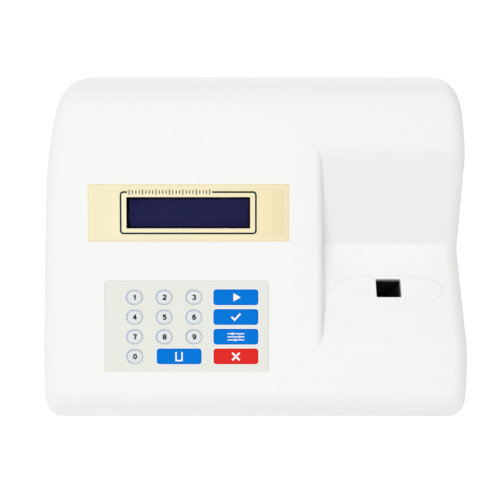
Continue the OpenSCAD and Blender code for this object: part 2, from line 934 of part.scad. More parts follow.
module optics_plate() {
    color([0.7, 0.71, 0.73])
        difference() {
            translate([slot_x - optics_w / 2, optics_front_y, floor_z])
                cube([optics_w, optics_back_y - optics_front_y, optics_t]);
            at_optics_screws()
                translate([0, 0, floor_z - eps])
                    cylinder(r = screw_hole_r, h = optics_t + 2 * eps);
        }
}

module cuvette_holder() {
    color([0.1, 0.1, 0.11])
        difference() {
            translate([slot_x - holder_w / 2, holder_front_y, optics_z])
                cube([holder_w, holder_d, holder_top - optics_z]);
            translate([slot_x - slot_w / 2, slot_mid_y - slot_d / 2, well_z])
                cube([slot_w, slot_d, holder_top - well_z + eps]);
            translate([slot_x, holder_front_y - eps, beam_z])
                rod_y(beam_dia / 2, holder_d + 2 * eps);
        }
}

module cuvette_spring() {
    leaf_t = 0.4;
    leaf_w = 8;
    belly = 3;
    top_gap = 4;
    foot_gap = 2;
    top = holder_top - top_gap;
    foot = well_z + foot_gap;
    steps = 12;
    path = [for (k = [0:steps])
        [slot_x + slot_w / 2 - leaf_t / 2 - belly * sin(180 * k / steps), foot + (top - foot) * k / steps]];
    left = [for (k = [0:steps]) path[k] + path_normal(path, k) * leaf_t / 2];
    right = [for (k = [steps:-1:0]) path[k] - path_normal(path, k) * leaf_t / 2];
    color([0.8, 0.8, 0.82])
        intersection() {
            translate([0, slot_mid_y + leaf_w / 2, 0])
                rotate([90, 0, 0])
                    linear_extrude(leaf_w)
                        polygon(concat(left, right));
            translate([slot_x - slot_w / 2, slot_mid_y - slot_d / 2, well_z])
                cube([slot_w, slot_d, holder_top - well_z]);
        }
}

module lens_tube() {
    color([0.12, 0.12, 0.13])
        translate([slot_x, holder_back_y, beam_z])
            difference() {
                rod_y(tube_dia / 2, tube_len);
                translate([0, -eps, 0])
                    rod_y(tube_bore / 2 - tube_lip, tube_len + 2 * eps);
                translate([0, lens_seat, 0])
                    rod_y(tube_bore / 2, tube_len);
            }
}

module condenser_lens() {
    r = lens_dia / 2;
    ball = (r * r + lens_bulge * lens_bulge) / (2 * lens_bulge);
    color([0.8, 0.88, 0.92, 0.5])
        translate([slot_x, holder_back_y + lens_seat, beam_z])
            union() {
                rod_y(r, lens_edge);
                intersection() {
                    translate([0, lens_edge + lens_bulge - ball, 0])
                        sphere(ball, $fn = 96);
                    rod_y(r, lens_edge + lens_bulge + eps);
                }
            }
}

module lamp_housing() {
    fin_gap = 3;
    fin_depth = 3;
    fin_pitch = 7;
    fins = 3;
    size = lamp_block;
    color([0.7, 0.71, 0.73])
        translate([slot_x, lamp_y, optics_z])
            difference() {
                plate(size[0], size[1], size[2]);
                translate([0, 0, lamp_floor])
                    cylinder(d = lamp_bore, h = size[2]);
                translate([0, -size[1] / 2 - eps, beam_z - optics_z])
                    rod_y(lamp_port_r, size[1] / 2 + eps);
                for (k = [1:fins], s = [-1, 1])
                    translate([
                        s * size[0] / 2 - fin_depth,
                        -size[1] / 2 - eps,
                        size[2] - fin_pitch * k - fin_gap])
                        cube([2 * fin_depth, size[1] + 2 * eps, fin_gap]);
            }
}

module lamp_socket() {
    color([0.93, 0.92, 0.88])
        translate([slot_x, lamp_y, optics_z + lamp_floor])
            difference() {
                cylinder(d = lamp_bore - fit, h = lamp_socket_h);
                for (s = [-1, 1])
                    translate([s * lamp_pin_gap, 0, lamp_socket_h - lamp_pin_len - eps])
                        cylinder(r = lamp_pin_r + fit / 2, h = lamp_pin_len + 2 * eps);
            }
}

module lamp_bulb() {
    bulb_r = 4.6;
    bulb_over = 6;
    base_z = optics_z + lamp_floor + lamp_socket_h;
    bulb_len = beam_z + bulb_over - base_z;
    color([0.85, 0.9, 0.95, 0.6])
        translate([slot_x, lamp_y, base_z]) {
            cylinder(r = bulb_r, h = bulb_len);
            translate([0, 0, bulb_len])
                sphere(bulb_r);
            for (s = [-1, 1])
                translate([s * lamp_pin_gap, 0, -lamp_pin_len])
                    cylinder(r = lamp_pin_r, h = lamp_pin_len + eps);
        }
}

// Beam turns half to the left: a splitter at 45 degrees, one detector ahead and one at the side
module detector_housing() {
    size = detector_block;
    seat = filter_t + diode_t;
    color([0.1, 0.1, 0.11])
        translate([slot_x, detector_y, optics_z])
            difference() {
                plate(size[0], size[1], size[2]);
                translate([0, -size[1] / 2 - eps, beam_z - optics_z])
                    rod_y(beam_dia / 2, size[1] + 2 * eps);
                translate([0, -size[1] / 2 - eps, beam_z - optics_z])
                    rod_y(seat_dia / 2, seat + eps);
                translate([-size[0] / 4, 0, beam_z - optics_z])
                    rod_x(beam_dia / 2, size[0] / 2);
                translate([-size[0] / 2 + seat / 2 - eps / 2, 0, beam_z - optics_z])
                    rod_x(seat_dia / 2, seat + eps);
                splitter_space(fit);
            }
}

splitter_size = [14, 1, 16];

module splitter_space(grow) {
    translate([0, 0, beam_z - optics_z - splitter_size[2] / 2])
        rotate([0, 0, 45])
            translate([-splitter_size[0] / 2 - grow, -splitter_size[1] / 2 - grow, 0])
                cube([
                    splitter_size[0] + 2 * grow,
                    splitter_size[1] + 2 * grow,
                    grow > 0 ? detector_block[2] : splitter_size[2]]);
}

module beam_splitter() {
    color([0.7, 0.8, 0.85, 0.5])
        translate([slot_x, detector_y, optics_z])
            splitter_space(0);
}

// Runs children along the two detector seats: ahead and to the left
module at_detectors() {
    translate([slot_x, detector_y - detector_block[1] / 2, beam_z])
        children();
    translate([slot_x - detector_block[0] / 2, detector_y, beam_z])
        rotate([0, 0, -90])
            children();
}

module colour_filters() {
    color([0.2, 0.35, 0.75])
        at_detectors()
            translate([0, diode_t, 0])
                rod_y(seat_dia / 2 - seat_fit, filter_t);
}

module photodiodes() {
    lead_gap = 2.5;
    lead_len = 6;
    lead_r = 0.4;
    color([0.72, 0.6, 0.3])
        at_detectors() {
            rod_y(seat_dia / 2 - seat_fit, diode_t);
            for (s = [-1, 1])
                translate([s * lead_gap, -lead_len, 0])
                    rod_y(lead_r, lead_len + eps);
        }
}

// Circuit board

module at_standoffs() {
    for (sx = [-1, 1], sy = [-1, 1])
        translate([
            board_x + sx * (board_w / 2 - board_inset),
            board_y + sy * (board_d / 2 - board_inset),
            0])
            children();
}

module main_board() {
    color([0.08, 0.38, 0.2])
        difference() {
            translate([board_x, board_y, board_z])
                plate(board_w, board_d, board_t);
            at_standoffs()
                translate([0, 0, board_z - eps])
                    cylinder(r = screw_hole_r, h = board_t + 2 * eps);
        }
}

module board_standoffs() {
    color([0.8, 0.66, 0.3])
        at_standoffs()
            translate([0, 0, floor_z])
                difference() {
                    cylinder(r = standoff_r, h = standoff_h, $fn = 6);
                    translate([0, 0, standoff_foot])
                        cylinder(r = screw_hole_r, h = standoff_h);
                }
}

// Chips and memory as [x, y, width, depth, height], and cans as [x, y, diameter, height]
chips = [[-20, -8, 18, 18, 2], [14, -14, 24, 8, 4], [14, -28, 24, 8, 4]];
cans = [[-42, 20, 12, 20], [-42, 2, 12, 20], [44, -20, 14, 8]];

module board_parts() {
    socket_border = 2;
    color([0.15, 0.15, 0.16])
        translate([0, 0, board_top]) {
            for (c = chips)
                translate([board_x + c[0], board_y + c[1], 0])
                    plate(c[2], c[3], c[4]);
            for (c = cans)
                translate([board_x + c[0], board_y + c[1], 0])
                    cylinder(d = c[2], h = c[3]);
            translate([panel_x, ribbon_end[0], 0])
                plate(ribbon_w + 2 * socket_border, socket_d, socket_h);
            translate([tail_x, tail_end[0], 0])
                plate(tail_w + 2 * socket_border, socket_d, socket_h);
        }
}

module inner_screws() {
    color([0.72, 0.72, 0.74]) {
        at_standoffs()
            translate([0, 0, board_top])
                screw();
        at_optics_screws()
            translate([0, 0, optics_z])
                screw();
        at_studs()
            translate([0, 0, -lcd_board_t])
                mirror([0, 0, 1])
                    screw();
    }
}

// Transformer: a laminated frame round a coil on its middle leg

core_size = [50, 24, 42];
core_leg = 16;
core_yoke = 8;
core_shift = -10;
core_x = rear_bay_x + core_shift;
core_back = 70;
core_y = half_d - core_back;

module transformer_core() {
    gap = (core_size[0] - core_leg - 2 * core_yoke) / 2;
    color([0.35, 0.36, 0.38])
        translate([core_x, core_y, floor_z])
            difference() {
                plate(core_size[0], core_size[1], core_size[2]);
                for (s = [-1, 1])
                    translate([s * (core_leg + gap) / 2, 0, core_yoke])
                        plate(gap, core_size[1] + 2 * eps, core_size[2] - 2 * core_yoke);
            }
}

module transformer_coil() {
    gap = (core_size[0] - core_leg - 2 * core_yoke) / 2;
    over = 9;
    color([0.75, 0.55, 0.15])
        translate([core_x, core_y, floor_z + core_yoke])
            difference() {
                translate([0, 0, fit])
                    plate(core_leg + 2 * gap - 2 * fit, core_size[1] + 2 * over,
                        core_size[2] - 2 * core_yoke - 2 * fit);
                translate([0, 0, -eps])
                    plate(core_leg + 2 * fit, core_size[1] + 2 * fit, core_size[2]);
            }
}

// Rear panel with the mains inlet and switch

module panel_screw_sites() {
    inset_x = bay_ledge / 2;
    inset_z = 6;
    for (sx = [-1, 1], sz = [-1, 1])
        translate([
            rear_bay_x + sx * (rear_bay_w / 2 - inset_x),
            panel_y,
            rear_bay_z + sz * (rear_bay_h / 2 - inset_z)])
            children();
}

module inlet_screw_sites() {
    inset = 4.5;
    for (s = [-1, 1])
        translate([inlet_x + s * (inlet_flange[0] / 2 - inset), panel_y + inlet_flange[1], rear_bay_z])
            children();
}

module rear_panel() {
    color([0.78, 0.79, 0.8])
        difference() {
            translate([rear_bay_x, panel_y, rear_bay_z])
                box_in([rear_bay_w - fit, panel_metal, rear_bay_h - fit]);
            translate([inlet_x, panel_y + eps, rear_bay_z])
                box_in([inlet_body[0] + fit, panel_metal + 2 * eps, inlet_body[2] + fit]);
            translate([switch_x, panel_y + eps, rear_bay_z])
                box_in([switch_body_size[0] + fit, panel_metal + 2 * eps, switch_body_size[2] + fit]);
            panel_screw_sites()
                translate([0, -panel_metal - eps, 0])
                    rod_y(screw_hole_r, panel_metal + 2 * eps);
            inlet_screw_sites()
                translate([0, -inlet_flange[1] - panel_metal - eps, 0])
                    rod_y(screw_hole_r, panel_metal + 2 * eps);
        }
}

module panel_screws() {
    color([0.72, 0.72, 0.74]) {
        panel_screw_sites()
            rotate([-90, 0, 0])
                screw();
        inlet_screw_sites()
            rotate([-90, 0, 0])
                screw();
    }
}

module mains_inlet() {
    front = inlet_flange[1];
    color([0.07, 0.07, 0.08])
        difference() {
            translate([inlet_x, panel_y, rear_bay_z]) {
                translate([0, front, 0])
                    box_in(inlet_flange);
                box_in(inlet_body);
            }
            translate([inlet_x, panel_y + front + eps, rear_bay_z + cavity_up])
                box_in([inlet_cavity[0], inlet_cavity[1] + eps, inlet_cavity[2]]);
            translate([inlet_x, panel_y + front + eps, rear_bay_z - drawer_down])
                box_in([drawer_body[0] + 2 * fit, drawer_body[1] + fit + eps, drawer_body[2] + 2 * fit]);
            inlet_screw_sites()
                translate([0, -front - eps, 0])
                    rod_y(screw_hole_r, front + 2 * eps);
        }
}

module inlet_pins() {
    pin = [2, 14, 4];
    spread = 7;
    line_down = 2.5;
    earth_up = 1;
    seat = panel_y + inlet_flange[1] - inlet_cavity[1];
    color([0.82, 0.82, 0.83])
        translate([inlet_x, seat + pin[1], rear_bay_z + cavity_up]) {
            for (s = [-1, 1])
                translate([s * spread, 0, -line_down])
                    box_in(pin);
            translate([0, 0, earth_up])
                box_in(pin);
        }
}

module fuse_drawer() {
    trough = [fuse_len + 2 * fuse_room, fuse_dia + 2 * fuse_room, drawer_body[2]];
    front = panel_y + inlet_flange[1];
    color([0.09, 0.09, 0.1])
        translate([inlet_x, front, rear_bay_z - drawer_down])
            difference() {
                union() {
                    box_in(drawer_body);
                    translate([0, drawer_face[1], 0])
                        box_in(drawer_face);
                }
                translate([0, -trough_in, trough_floor])
                    box_in(trough);
            }
}

module fuse() {
    front = panel_y + inlet_flange[1];
    cap = 5;
    glass_in = 0.2;
    color([0.85, 0.86, 0.88])
        translate([
            inlet_x,
            front - trough_in - fuse_room - fuse_dia / 2,
            rear_bay_z - drawer_down - drawer_body[2] / 2 + trough_floor + fuse_dia / 2]) {
            rod_x(fuse_dia / 2 - glass_in, fuse_len);
            for (s = [-1, 1])
                translate([s * (fuse_len - cap) / 2, 0, 0])
                    rod_x(fuse_dia / 2, cap);
        }
}

rocker_space = [rocker_w + 2 * fit, 9, 2 * rocker_half + 2 * rocker_swing];

module switch_body() {
    color([0.07, 0.07, 0.08])
        difference() {
            translate([switch_x, panel_y, rear_bay_z]) {
                translate([0, switch_bezel[1], 0])
                    box_in(switch_bezel);
                box_in(switch_body_size);
            }
            translate([switch_x, panel_y + switch_bezel[1] + eps, rear_bay_z])
                box_in([rocker_space[0], rocker_space[1] + eps, rocker_space[2]]);
            translate([switch_x, pivot_y, rear_bay_z])
                rod_x(pivot_r + pivot_fit, pivot_len + 2 * pivot_end);
        }
}

module switch_rocker() {
    face_out = 4;
    face_mid = 2.8;
    back = 0.6;
    hub = 2.6;
    color([0.72, 0.1, 0.1])
        translate([switch_x, pivot_y, rear_bay_z])
            rotate([rocker_tilt, 0, 0]) {
                translate([-rocker_w / 2, 0, 0])
                    rotate([90, 0, 90])
                        linear_extrude(rocker_w) {
                            polygon([
                                [face_out, rocker_half], [face_mid, 0], [face_out, -rocker_half],
                                [back, -rocker_half], [-back, 0], [back, rocker_half]]);
                            circle(hub);
                        }
                rod_x(pivot_r, pivot_len);
            }
}

// Assembly

blue = [0.02, 0.45, 0.85];
red = [0.88, 0.2, 0.2];

top_cover();
base_plate();
rubber_feet();
cover_blocks();
cover_screws();
display_panel();
display_window();
lcd_bezel();
lcd_glass();
lcd_backlight();
lcd_board();
display_studs();
display_ribbon();
keypad_overlay();
keypad_spacer();
keypad_circuit();
snap_domes();
keypad_tail();
for (d = [0:9])
    number_key(d);
bar_key(bar_sites[0], blue);  // key_start
bar_key(bar_sites[1], blue);  // key_enter
bar_key(bar_sites[2], blue);  // key_setup
bar_key(wide_site, blue);  // key_zero
bar_key(bar_sites[3], red);  // key_cancel
cuvette_holder();
cuvette_spring();
optics_plate();
lens_tube();
condenser_lens();
lamp_housing();
lamp_socket();
lamp_bulb();
detector_housing();
beam_splitter();
colour_filters();
photodiodes();
main_board();
board_parts();
board_standoffs();
inner_screws();
transformer_core();
transformer_coil();
rear_panel();
panel_screws();
mains_inlet();
inlet_pins();
fuse_drawer();
fuse();
switch_body();
switch_rocker();
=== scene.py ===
"""Looks of a bench-top bilirubin meter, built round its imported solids."""

import math

import bmesh
import bpy
from bpy.props import FloatProperty, FloatVectorProperty, PointerProperty
from mathutils import Matrix, Vector


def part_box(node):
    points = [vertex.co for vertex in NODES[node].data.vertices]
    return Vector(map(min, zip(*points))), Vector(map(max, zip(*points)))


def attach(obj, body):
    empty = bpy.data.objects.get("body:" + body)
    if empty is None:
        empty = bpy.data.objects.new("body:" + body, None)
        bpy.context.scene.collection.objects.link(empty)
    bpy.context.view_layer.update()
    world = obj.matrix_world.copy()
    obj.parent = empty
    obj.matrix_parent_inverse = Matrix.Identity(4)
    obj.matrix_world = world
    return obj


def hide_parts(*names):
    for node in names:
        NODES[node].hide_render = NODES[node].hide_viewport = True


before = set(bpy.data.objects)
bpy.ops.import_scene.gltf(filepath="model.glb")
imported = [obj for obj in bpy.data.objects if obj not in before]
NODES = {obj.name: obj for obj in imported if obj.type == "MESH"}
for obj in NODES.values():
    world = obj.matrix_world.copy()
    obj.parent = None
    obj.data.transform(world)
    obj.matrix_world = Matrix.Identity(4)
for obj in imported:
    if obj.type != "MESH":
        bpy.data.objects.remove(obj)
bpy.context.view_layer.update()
COVER_LOW, COVER_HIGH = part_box("top_cover")

bl_info = {
    "name": "Bilirubin Meter",
    "version": (1, 0, 0),
    "blender": (4, 5, 0),
    "location": "3D View > Sidebar > Meter",
    "description": "Dresses the solids of a bench-top bilirubin meter",
    "category": "Object",
}

# Sizes and colours

VERT, EDGE, FACE = bmesh.types.BMVert, bmesh.types.BMEdge, bmesh.types.BMFace
ACROSS, ALONG = Vector((1, 0, 0)), Vector((0, 1, 0))
DIGITS = "0123456789"
BAR_KEYS = ("start", "enter", "setup", "cancel")


def linear(red, green, blue):
    """A colour written as screen values from 0 to 255, as scene values."""
    shares = [value / 255 for value in (red, green, blue)]
    return tuple(
        s / 12.92 if s <= 0.04045 else ((s + 0.055) / 1.055) ** 2.4 for s in shares
    )


def length(name, description, default):
    """A size property in metres."""
    return FloatProperty(
        name=name, description=description, default=default, unit="LENGTH", precision=5
    )


def angle(name, description, degrees):
    """An angle property, given in degrees."""
    return FloatProperty(
        name=name,
        description=description,
        default=math.radians(degrees),
        subtype="ANGLE",
    )


def colour(name, description, red, green, blue):
    """A colour property, given as screen values."""
    return FloatVectorProperty(
        name=name,
        description=description,
        default=linear(red, green, blue),
        subtype="COLOR",
        min=0,
        max=1,
    )


class MeterCase(bpy.types.PropertyGroup):
    """Sizes of the moulded cover."""

    half_w: length("Half width", "Half the cover's width at its rim", COVER_HIGH.x)
    half_d: length("Half depth", "Half the cover's depth", COVER_HIGH.y)
    rim: length("Rim", "Height of the rim above the table", COVER_LOW.z)
    deck_front: length("Deck front", "Height where the deck meets the front", 0.0446)
    deck_slope: angle("Deck slope", "Slope of the deck", 23)
    wall: length("Wall", "Thickness of the cover", 0.003)
    side_draft: angle("Side draft", "Draft of the side walls", 3)
    side_roll: length("Side roll", "Radius of the side edges", 0.0115)
    rear_roll: length("Rear roll", "Radius of the rear edge", 0.022)
    front_roll: length("Front roll", "Radius of the front edge", 0.014)
    rear_corner_w: length("Left corner width", "Width of the left rear corner", 0.025)
    rear_corner_d: length("Left corner depth", "Depth of the left rear corner", 0.087)
    right_corner_w: length("Right corner width", "Width of the right rear corner", 0.016)
    right_corner_d: length("Right corner depth", "Depth of the right rear corner", 0.056)
    front_corner: length("Front draw", "How far the sides draw in at the front", 0.0034)
    front_corner_d: length("Front draw depth", "Depth over which they draw in", 0.036)


class MeterBay(bpy.types.PropertyGroup):
    """Sizes of the cuvette bay."""

    platform: length("Platform", "Height of the level platform", 0.0604)
    back_y: length("Back", "Where the sloped rear face starts", 0.002)
    back_angle: angle("Back angle", "Angle of the sloped rear face", 46.8)
    blend: length("Foot softness", "Softness of the crease at the rear face's foot", 0.0012)
    edge: length("Edge softness", "Softness of the edges towards the deck", 0.0025)
    left_x: length("Left wall", "Where the bay's left wall starts", 0.0384)
    skew: angle("Skew", "Turn of the left wall in plan", 0.9)
    roll: length("Roll", "Roll at the top of the left wall", 0.005)
    fillet: length("Fillet", "Fillet at the foot of the left wall", 0.002)
    draft: angle("Draft", "Draft of the left wall", 6)
    slot_x: length("Slot across", "Slot centre from side to side", 0.088)
    slot_y: length("Slot along", "Slot centre from front to back", -0.029)
    slot_w: length("Slot width", "Width of the cuvette slot", 0.0164)
    slot_d: length("Slot depth", "Depth of the cuvette slot", 0.0126)
    slot_corner: length("Slot corner", "Radius of the slot's corners", 0.0009)
    slot_lip: length("Slot lip", "Width of the slot's rounded lip", 0.00045)
    collar: length("Collar", "Reach of the slot's collar below the wall", 0.0022)
    pad_x: length("Pad across", "Pad centre from side to side", 0.0868)
    pad_y: length("Pad along", "Pad centre from front to back", -0.0302)
    pad_w: length("Pad width", "Width of the raised oval pad", 0.075)
    pad_d: length("Pad depth", "Depth of the pad from front to back", 0.022)


class MeterFace(bpy.types.PropertyGroup):
    """Sizes of the display panel and the keypad."""

    panel_x: length("Panel across", "Panel centre from side to side", -0.0429)
    panel_u: length("Panel along", "Panel centre along the deck", 0.1248)
    panel_w: length("Panel width", "Width of the display panel", 0.1282)
    panel_h: length("Panel height", "Height of the display panel", 0.0363)
    panel_t: length("Panel thickness", "Thickness of the panel", 0.0012)
    window_w: length("Window width", "Width of the window", 0.079)
    window_h: length("Window height", "Height of the window", 0.020)
    window_seat: length("Window seat", "Room for the window round its opening", 0.004)
    keypad_x: length("Keypad across", "Keypad centre from side to side", -0.0443)
    keypad_u: length("Keypad along", "Keypad centre along the deck", 0.0519)
    keypad_w: length("Keypad width", "Width of the keypad overlay", 0.1054)
    keypad_h: length("Keypad height", "Height of the keypad overlay", 0.059)
    overlay_t: length("Overlay", "Thickness of the overlay", 0.0004)
    pocket_margin: length("Pocket margin", "How far the overlay laps over its pocket", 0.0012)
    pocket_sink: length("Pocket depth", "Depth of the pocket under the overlay", 0.0012)
    row_pitch: length("Row pitch", "Pitch of the key rows", 0.0127)
    column_pitch: length("Column pitch", "Pitch of the number columns", 0.019)
    first_x: length("First column", "Place of the first number column", -0.0776)
    bar_x: length("Bar column", "Place of the function keys", -0.0126)
    key_w: length("Key width", "Length of a number key", 0.0105)
    key_h: length("Key height", "Height of a number key", 0.0093)
    bar_w: length("Bar width", "Length of a function key", 0.0283)
    bar_h: length("Bar height", "Height of a function key", 0.0096)


class MeterColours(bpy.types.PropertyGroup):
    """Colours of the finishes."""

    cover: colour("Cover", "Moulded cover", 247, 247, 246)
    cream: colour("Cream", "Left side of the display panel", 246, 239, 200)
    cream_far: colour("Cream far", "Right side of the display panel", 248, 233, 188)
    cream_edge: colour("Cream edge", "Outer line of the display panel", 232, 218, 164)
    # Painted highlight: the pale line inside the panel's bevel stands for light on the bevel.
    cream_highlight: colour("Cream line", "Fine line inside the panel's bevel", 252, 249, 236)
    teal: colour("Teal", "Printed outline", 15, 45, 62)
    navy: colour("Navy", "Display glass", 31, 32, 69)
    overlay: colour("Overlay", "Keypad overlay", 232, 234, 226)
    # Painted light: the overlay's edge line is painted shade on three sides and a painted highlight
    # along the front.
    overlay_edge_shading: colour("Overlay edge", "Cut edge of the overlay", 200, 201, 194)
    overlay_edge_highlight: colour("Overlay lip", "Cut edge of the overlay at the front", 252, 252, 250)
    key_pale: colour("Pale key", "Number keys", 221, 226, 228)
    # Painted shade: the number keys' rims are darker and bluer on the left and lighter on the right,
    # for light from the left; the rims themselves are real.
    key_rim_shaded: colour("Key rim", "Left side of a number key's rim", 156, 172, 206)
    key_rim_lit: colour("Key rim far", "Right side of the rim", 204, 208, 210)
    blue: colour("Blue", "Blue function keys", 0, 121, 221)
    red: colour("Red", "Red function key", 231, 45, 40)
    white_print: colour("White print", "Marks on the function keys", 252, 252, 252)
    dark_print: colour("Dark print", "Digits on the number keys", 32, 32, 36)


# Finishes


def feed(tree, node, inputs):
    """Sets inputs of a node, each from a value or from another node's output."""
    for name, value in inputs.items():
        if isinstance(value, bpy.types.NodeSocket):
            tree.links.new(value, node.inputs[name])
        else:
            node.inputs[name].default_value = value


def add_node(tree, kind, inputs=None, **settings):
    """Adds a shader node with its settings and inputs and returns its outputs."""
    node = tree.nodes.new(f"ShaderNode{kind}")
    for name, value in settings.items():
        setattr(node, name, value)
    feed(tree, node, inputs or {})
    return node.outputs


def mapped(tree, inputs):
    """The place on the object, turned or stretched."""
    place = add_node(tree, "TexCoord")["Object"]
    return add_node(tree, "Mapping", {"Vector": place, **inputs})["Vector"]


def blend(tree, share, near, far):
    """A colour between two, by a share from another node."""
    ends = {"Factor": share, "A": [*near, 1], "B": [*far, 1]}
    return add_node(tree, "Mix", ends, data_type="RGBA")["Result"]


def finish(
    name,
    tint,
    rough,
    tone=0.02,
    tone_scale=40.0,
    grain=0.0,
    grain_scale=2200.0,
    metal=0.0,
    gloss=0.5,
    coat=0.0,
    clear=0.0,
    ior=1.45,
    stretch=(1, 1, 1),
):
    """A finish with a slow drift in its colour and sheen and a fine grain in its surface."""
    sheen_drift, grain_depth = 0.12, 0.0002
    made = bpy.data.materials.new(name)
    made.use_nodes = True
    tree = made.node_tree
    shader = tree.nodes["Principled BSDF"]
    place = mapped(tree, {"Scale": stretch})
    drift = add_node(tree, "TexNoise", {"Vector": place, "Scale": tone_scale, "Detail": 4})["Fac"]
    dark, light = ([min(1, c * (1 + side * tone)) for c in tint] for side in (-1, 1))
    low, high = rough * (1 - sheen_drift), min(1, rough * (1 + sheen_drift))
    sheen = add_node(tree, "MapRange", {"Value": drift, "To Min": low, "To Max": high})
    looks = {
        "Base Color": blend(tree, drift, dark, light),
        "Roughness": sheen["Result"],
        "Metallic": metal,
        "IOR": ior,
        "Specular IOR Level": gloss,
        "Coat Weight": coat,
        "Coat Roughness": 0.12,
        "Transmission Weight": clear,
    }
    if grain:
        pits = add_node(tree, "TexNoise", {"Vector": place, "Scale": grain_scale, "Detail": 2})
        dents = {"Height": pits["Fac"], "Strength": grain, "Distance": grain_depth}
        looks["Normal"] = add_node(tree, "Bump", dents)["Normal"]
    feed(tree, shader, looks)
    return made


def recolour(made, tint):
    """Gives a finish the colour that comes from another node."""
    feed(made.node_tree, made.node_tree.nodes["Principled BSDF"], {"Base Color": tint})
    return made


def run_finish(name, near, far):
    """A finish whose tint runs across the piece."""
    made = finish(name, near, 0.3, tone=0.01, gloss=0.3)
    tree = made.node_tree
    across = add_node(tree, "Attribute", attribute_name="across")["Fac"]
    return recolour(made, blend(tree, across, near, far))


def display_finish(name, tint, slope):
    """Dark display glass with the faint cells of its characters."""
    made = finish(name, tint, 0.3, tone=0.05, tone_scale=25, gloss=0)
    tree = made.node_tree
    cells = {
        "Vector": mapped(tree, {"Rotation": (-slope, 0, 0)}),
        "Color1": [c * 1.08 for c in tint] + [1],
        "Color2": [c * 1.04 for c in tint] + [1],
        "Mortar": [*tint, 1],
        "Scale": 1,
        "Mortar Size": 0.0005,
        "Brick Width": 0.0045,
        "Row Height": 0.0082,
    }
    return recolour(made, add_node(tree, "TexBrick", cells, offset=0)["Color"])


# Mesh helpers


def on_deck(case, x, u, w=0.0):
    """Place on the deck: x across, u along it from the front, w out of it."""
    return (
        Matrix.Translation((0, -case.half_d, case.deck_front))
        @ Matrix.Rotation(case.deck_slope, 4, "X")
        @ Matrix.Translation((x, u, w))
    )


def on_rear(x, y, z):
    """Place on the rear: local x to the left, local y up, local z out to the back."""
    turn = Matrix(((-1, 0, 0, 0), (0, 0, 1, 0), (0, 1, 0, 0), (0, 0, 0, 1)))
    return Matrix.Translation((x, y, z)) @ turn


def piece(name, bm, finishes, body, stands_for=(), sharp=35):
    """Makes the mesh an object that rides on a body, with its hard edges kept sharp."""
    for face in bm.faces:
        face.smooth = True
    for edge in bm.edges:
        edge.smooth = edge.calc_face_angle(0) < math.radians(sharp)
    mesh = bpy.data.meshes.new(name)
    bm.to_mesh(mesh)
    bm.free()
    for made in finishes:
        mesh.materials.append(made)
    obj = bpy.data.objects.new(name, mesh)
    bpy.context.scene.collection.objects.link(obj)
    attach(obj, body)
    if stands_for:
        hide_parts(*stands_for)
    return obj


def break_edges(obj, width):
    """Merges flat triangles of a solid and breaks its hard edges."""
    weld = obj.modifiers.new("Weld", "WELD")
    weld.merge_threshold = 0.000002
    flat = obj.modifiers.new("Flat", "DECIMATE")
    flat.decimate_type = "DISSOLVE"
    flat.angle_limit = math.radians(1)
    bevel = obj.modifiers.new("Bevel", "BEVEL")
    bevel.width = width
    bevel.segments = 2
    bevel.limit_method = "ANGLE"
    bevel.angle_limit = math.radians(40)


def dress(name, tint, rough, *solids, edge=0.0, **look):
    """Gives a finish to solids that are shown as they are, with their edges broken by a width."""
    made = finish(name, tint, rough, **look)
    for solid in solids:
        mesh = NODES[solid].data
        mesh.materials.clear()
        mesh.materials.append(made)
        if edge:
            break_edges(NODES[solid], edge)


def add_mesh(whole, bm):
    """Adds a finished mesh to a piece made of several."""
    mesh = bpy.data.meshes.new("share")
    bm.to_mesh(mesh)
    bm.free()
    whole.from_mesh(mesh)
    bpy.data.meshes.remove(mesh)


def of_kind(made, kind):
    """The elements of one kind in what an operator made."""
    return [element for element in made["geom"] if isinstance(element, kind)]


def top_face(bm):
    return max(bm.faces, key=lambda face: face.calc_center_median().z)


def rim_of(faces):
    """Edges round a patch of faces."""
    patch = set(faces)
    around = {edge for face in patch for edge in face.edges}
    return [edge for edge in around if sum(face in patch for face in edge.link_faces) == 1]


def inset(bm, face, *steps):
    """Insets a face by steps of a run and a rise along its normal and returns the faces round it."""
    made = []
    for run, rise in steps:
        made += bmesh.ops.inset_region(
            bm, faces=[face], thickness=run, depth=rise, use_even_offset=True
        )["faces"]
    return made


def extrude(bm, faces, rise, keep):
    """Extrudes faces upwards and keeps the old ones or lets them go."""
    made = bmesh.ops.extrude_face_region(bm, geom=faces, use_keep_orig=keep)
    bmesh.ops.translate(bm, verts=of_kind(made, VERT), vec=(0, 0, rise))


def round_off(bm, parts, width, segments=2, affect="EDGES"):
    """Rounds edges, or the corners of a flat face."""
    bmesh.ops.bevel(
        bm,
        geom=parts,
        offset=width,
        offset_type="OFFSET",
        affect=affect,
        segments=segments,
        profile=0.5,
        material=-1,
        clamp_overlap=True,
    )


def thicken(bm, thick):
    """Turns the mesh's one flat face on z = 0 into a closed plate and returns its upper face."""
    face = next(iter(bm.faces))
    if face.normal.z < 0:
        face.normal_flip()
    extrude(bm, [face], thick, keep=True)
    bmesh.ops.recalc_face_normals(bm, faces=bm.faces[:])
    return top_face(bm)


def slab(bm, width, height, thick, corner, segments=6):
    """Makes a plate with round corners on z = 0 and returns its upper face."""
    size = Matrix.Diagonal((width, height, 1, 1))
    bmesh.ops.create_grid(bm, x_segments=1, y_segments=1, size=0.5, matrix=size)
    if corner:
        round_off(bm, bm.verts[:], corner, segments, "VERTICES")
    return thicken(bm, thick)


def oval(bm, width, height, thick):
    """Makes a plate with round ends on z = 0 and returns its upper face."""
    bmesh.ops.create_circle(bm, cap_ends=True, segments=48, radius=height / 2)
    spread = (width - height) / 2
    for vert in bm.verts:
        if abs(vert.co.x) > 1e-7:
            vert.co.x += math.copysign(spread, vert.co.x)
    return thicken(bm, thick)


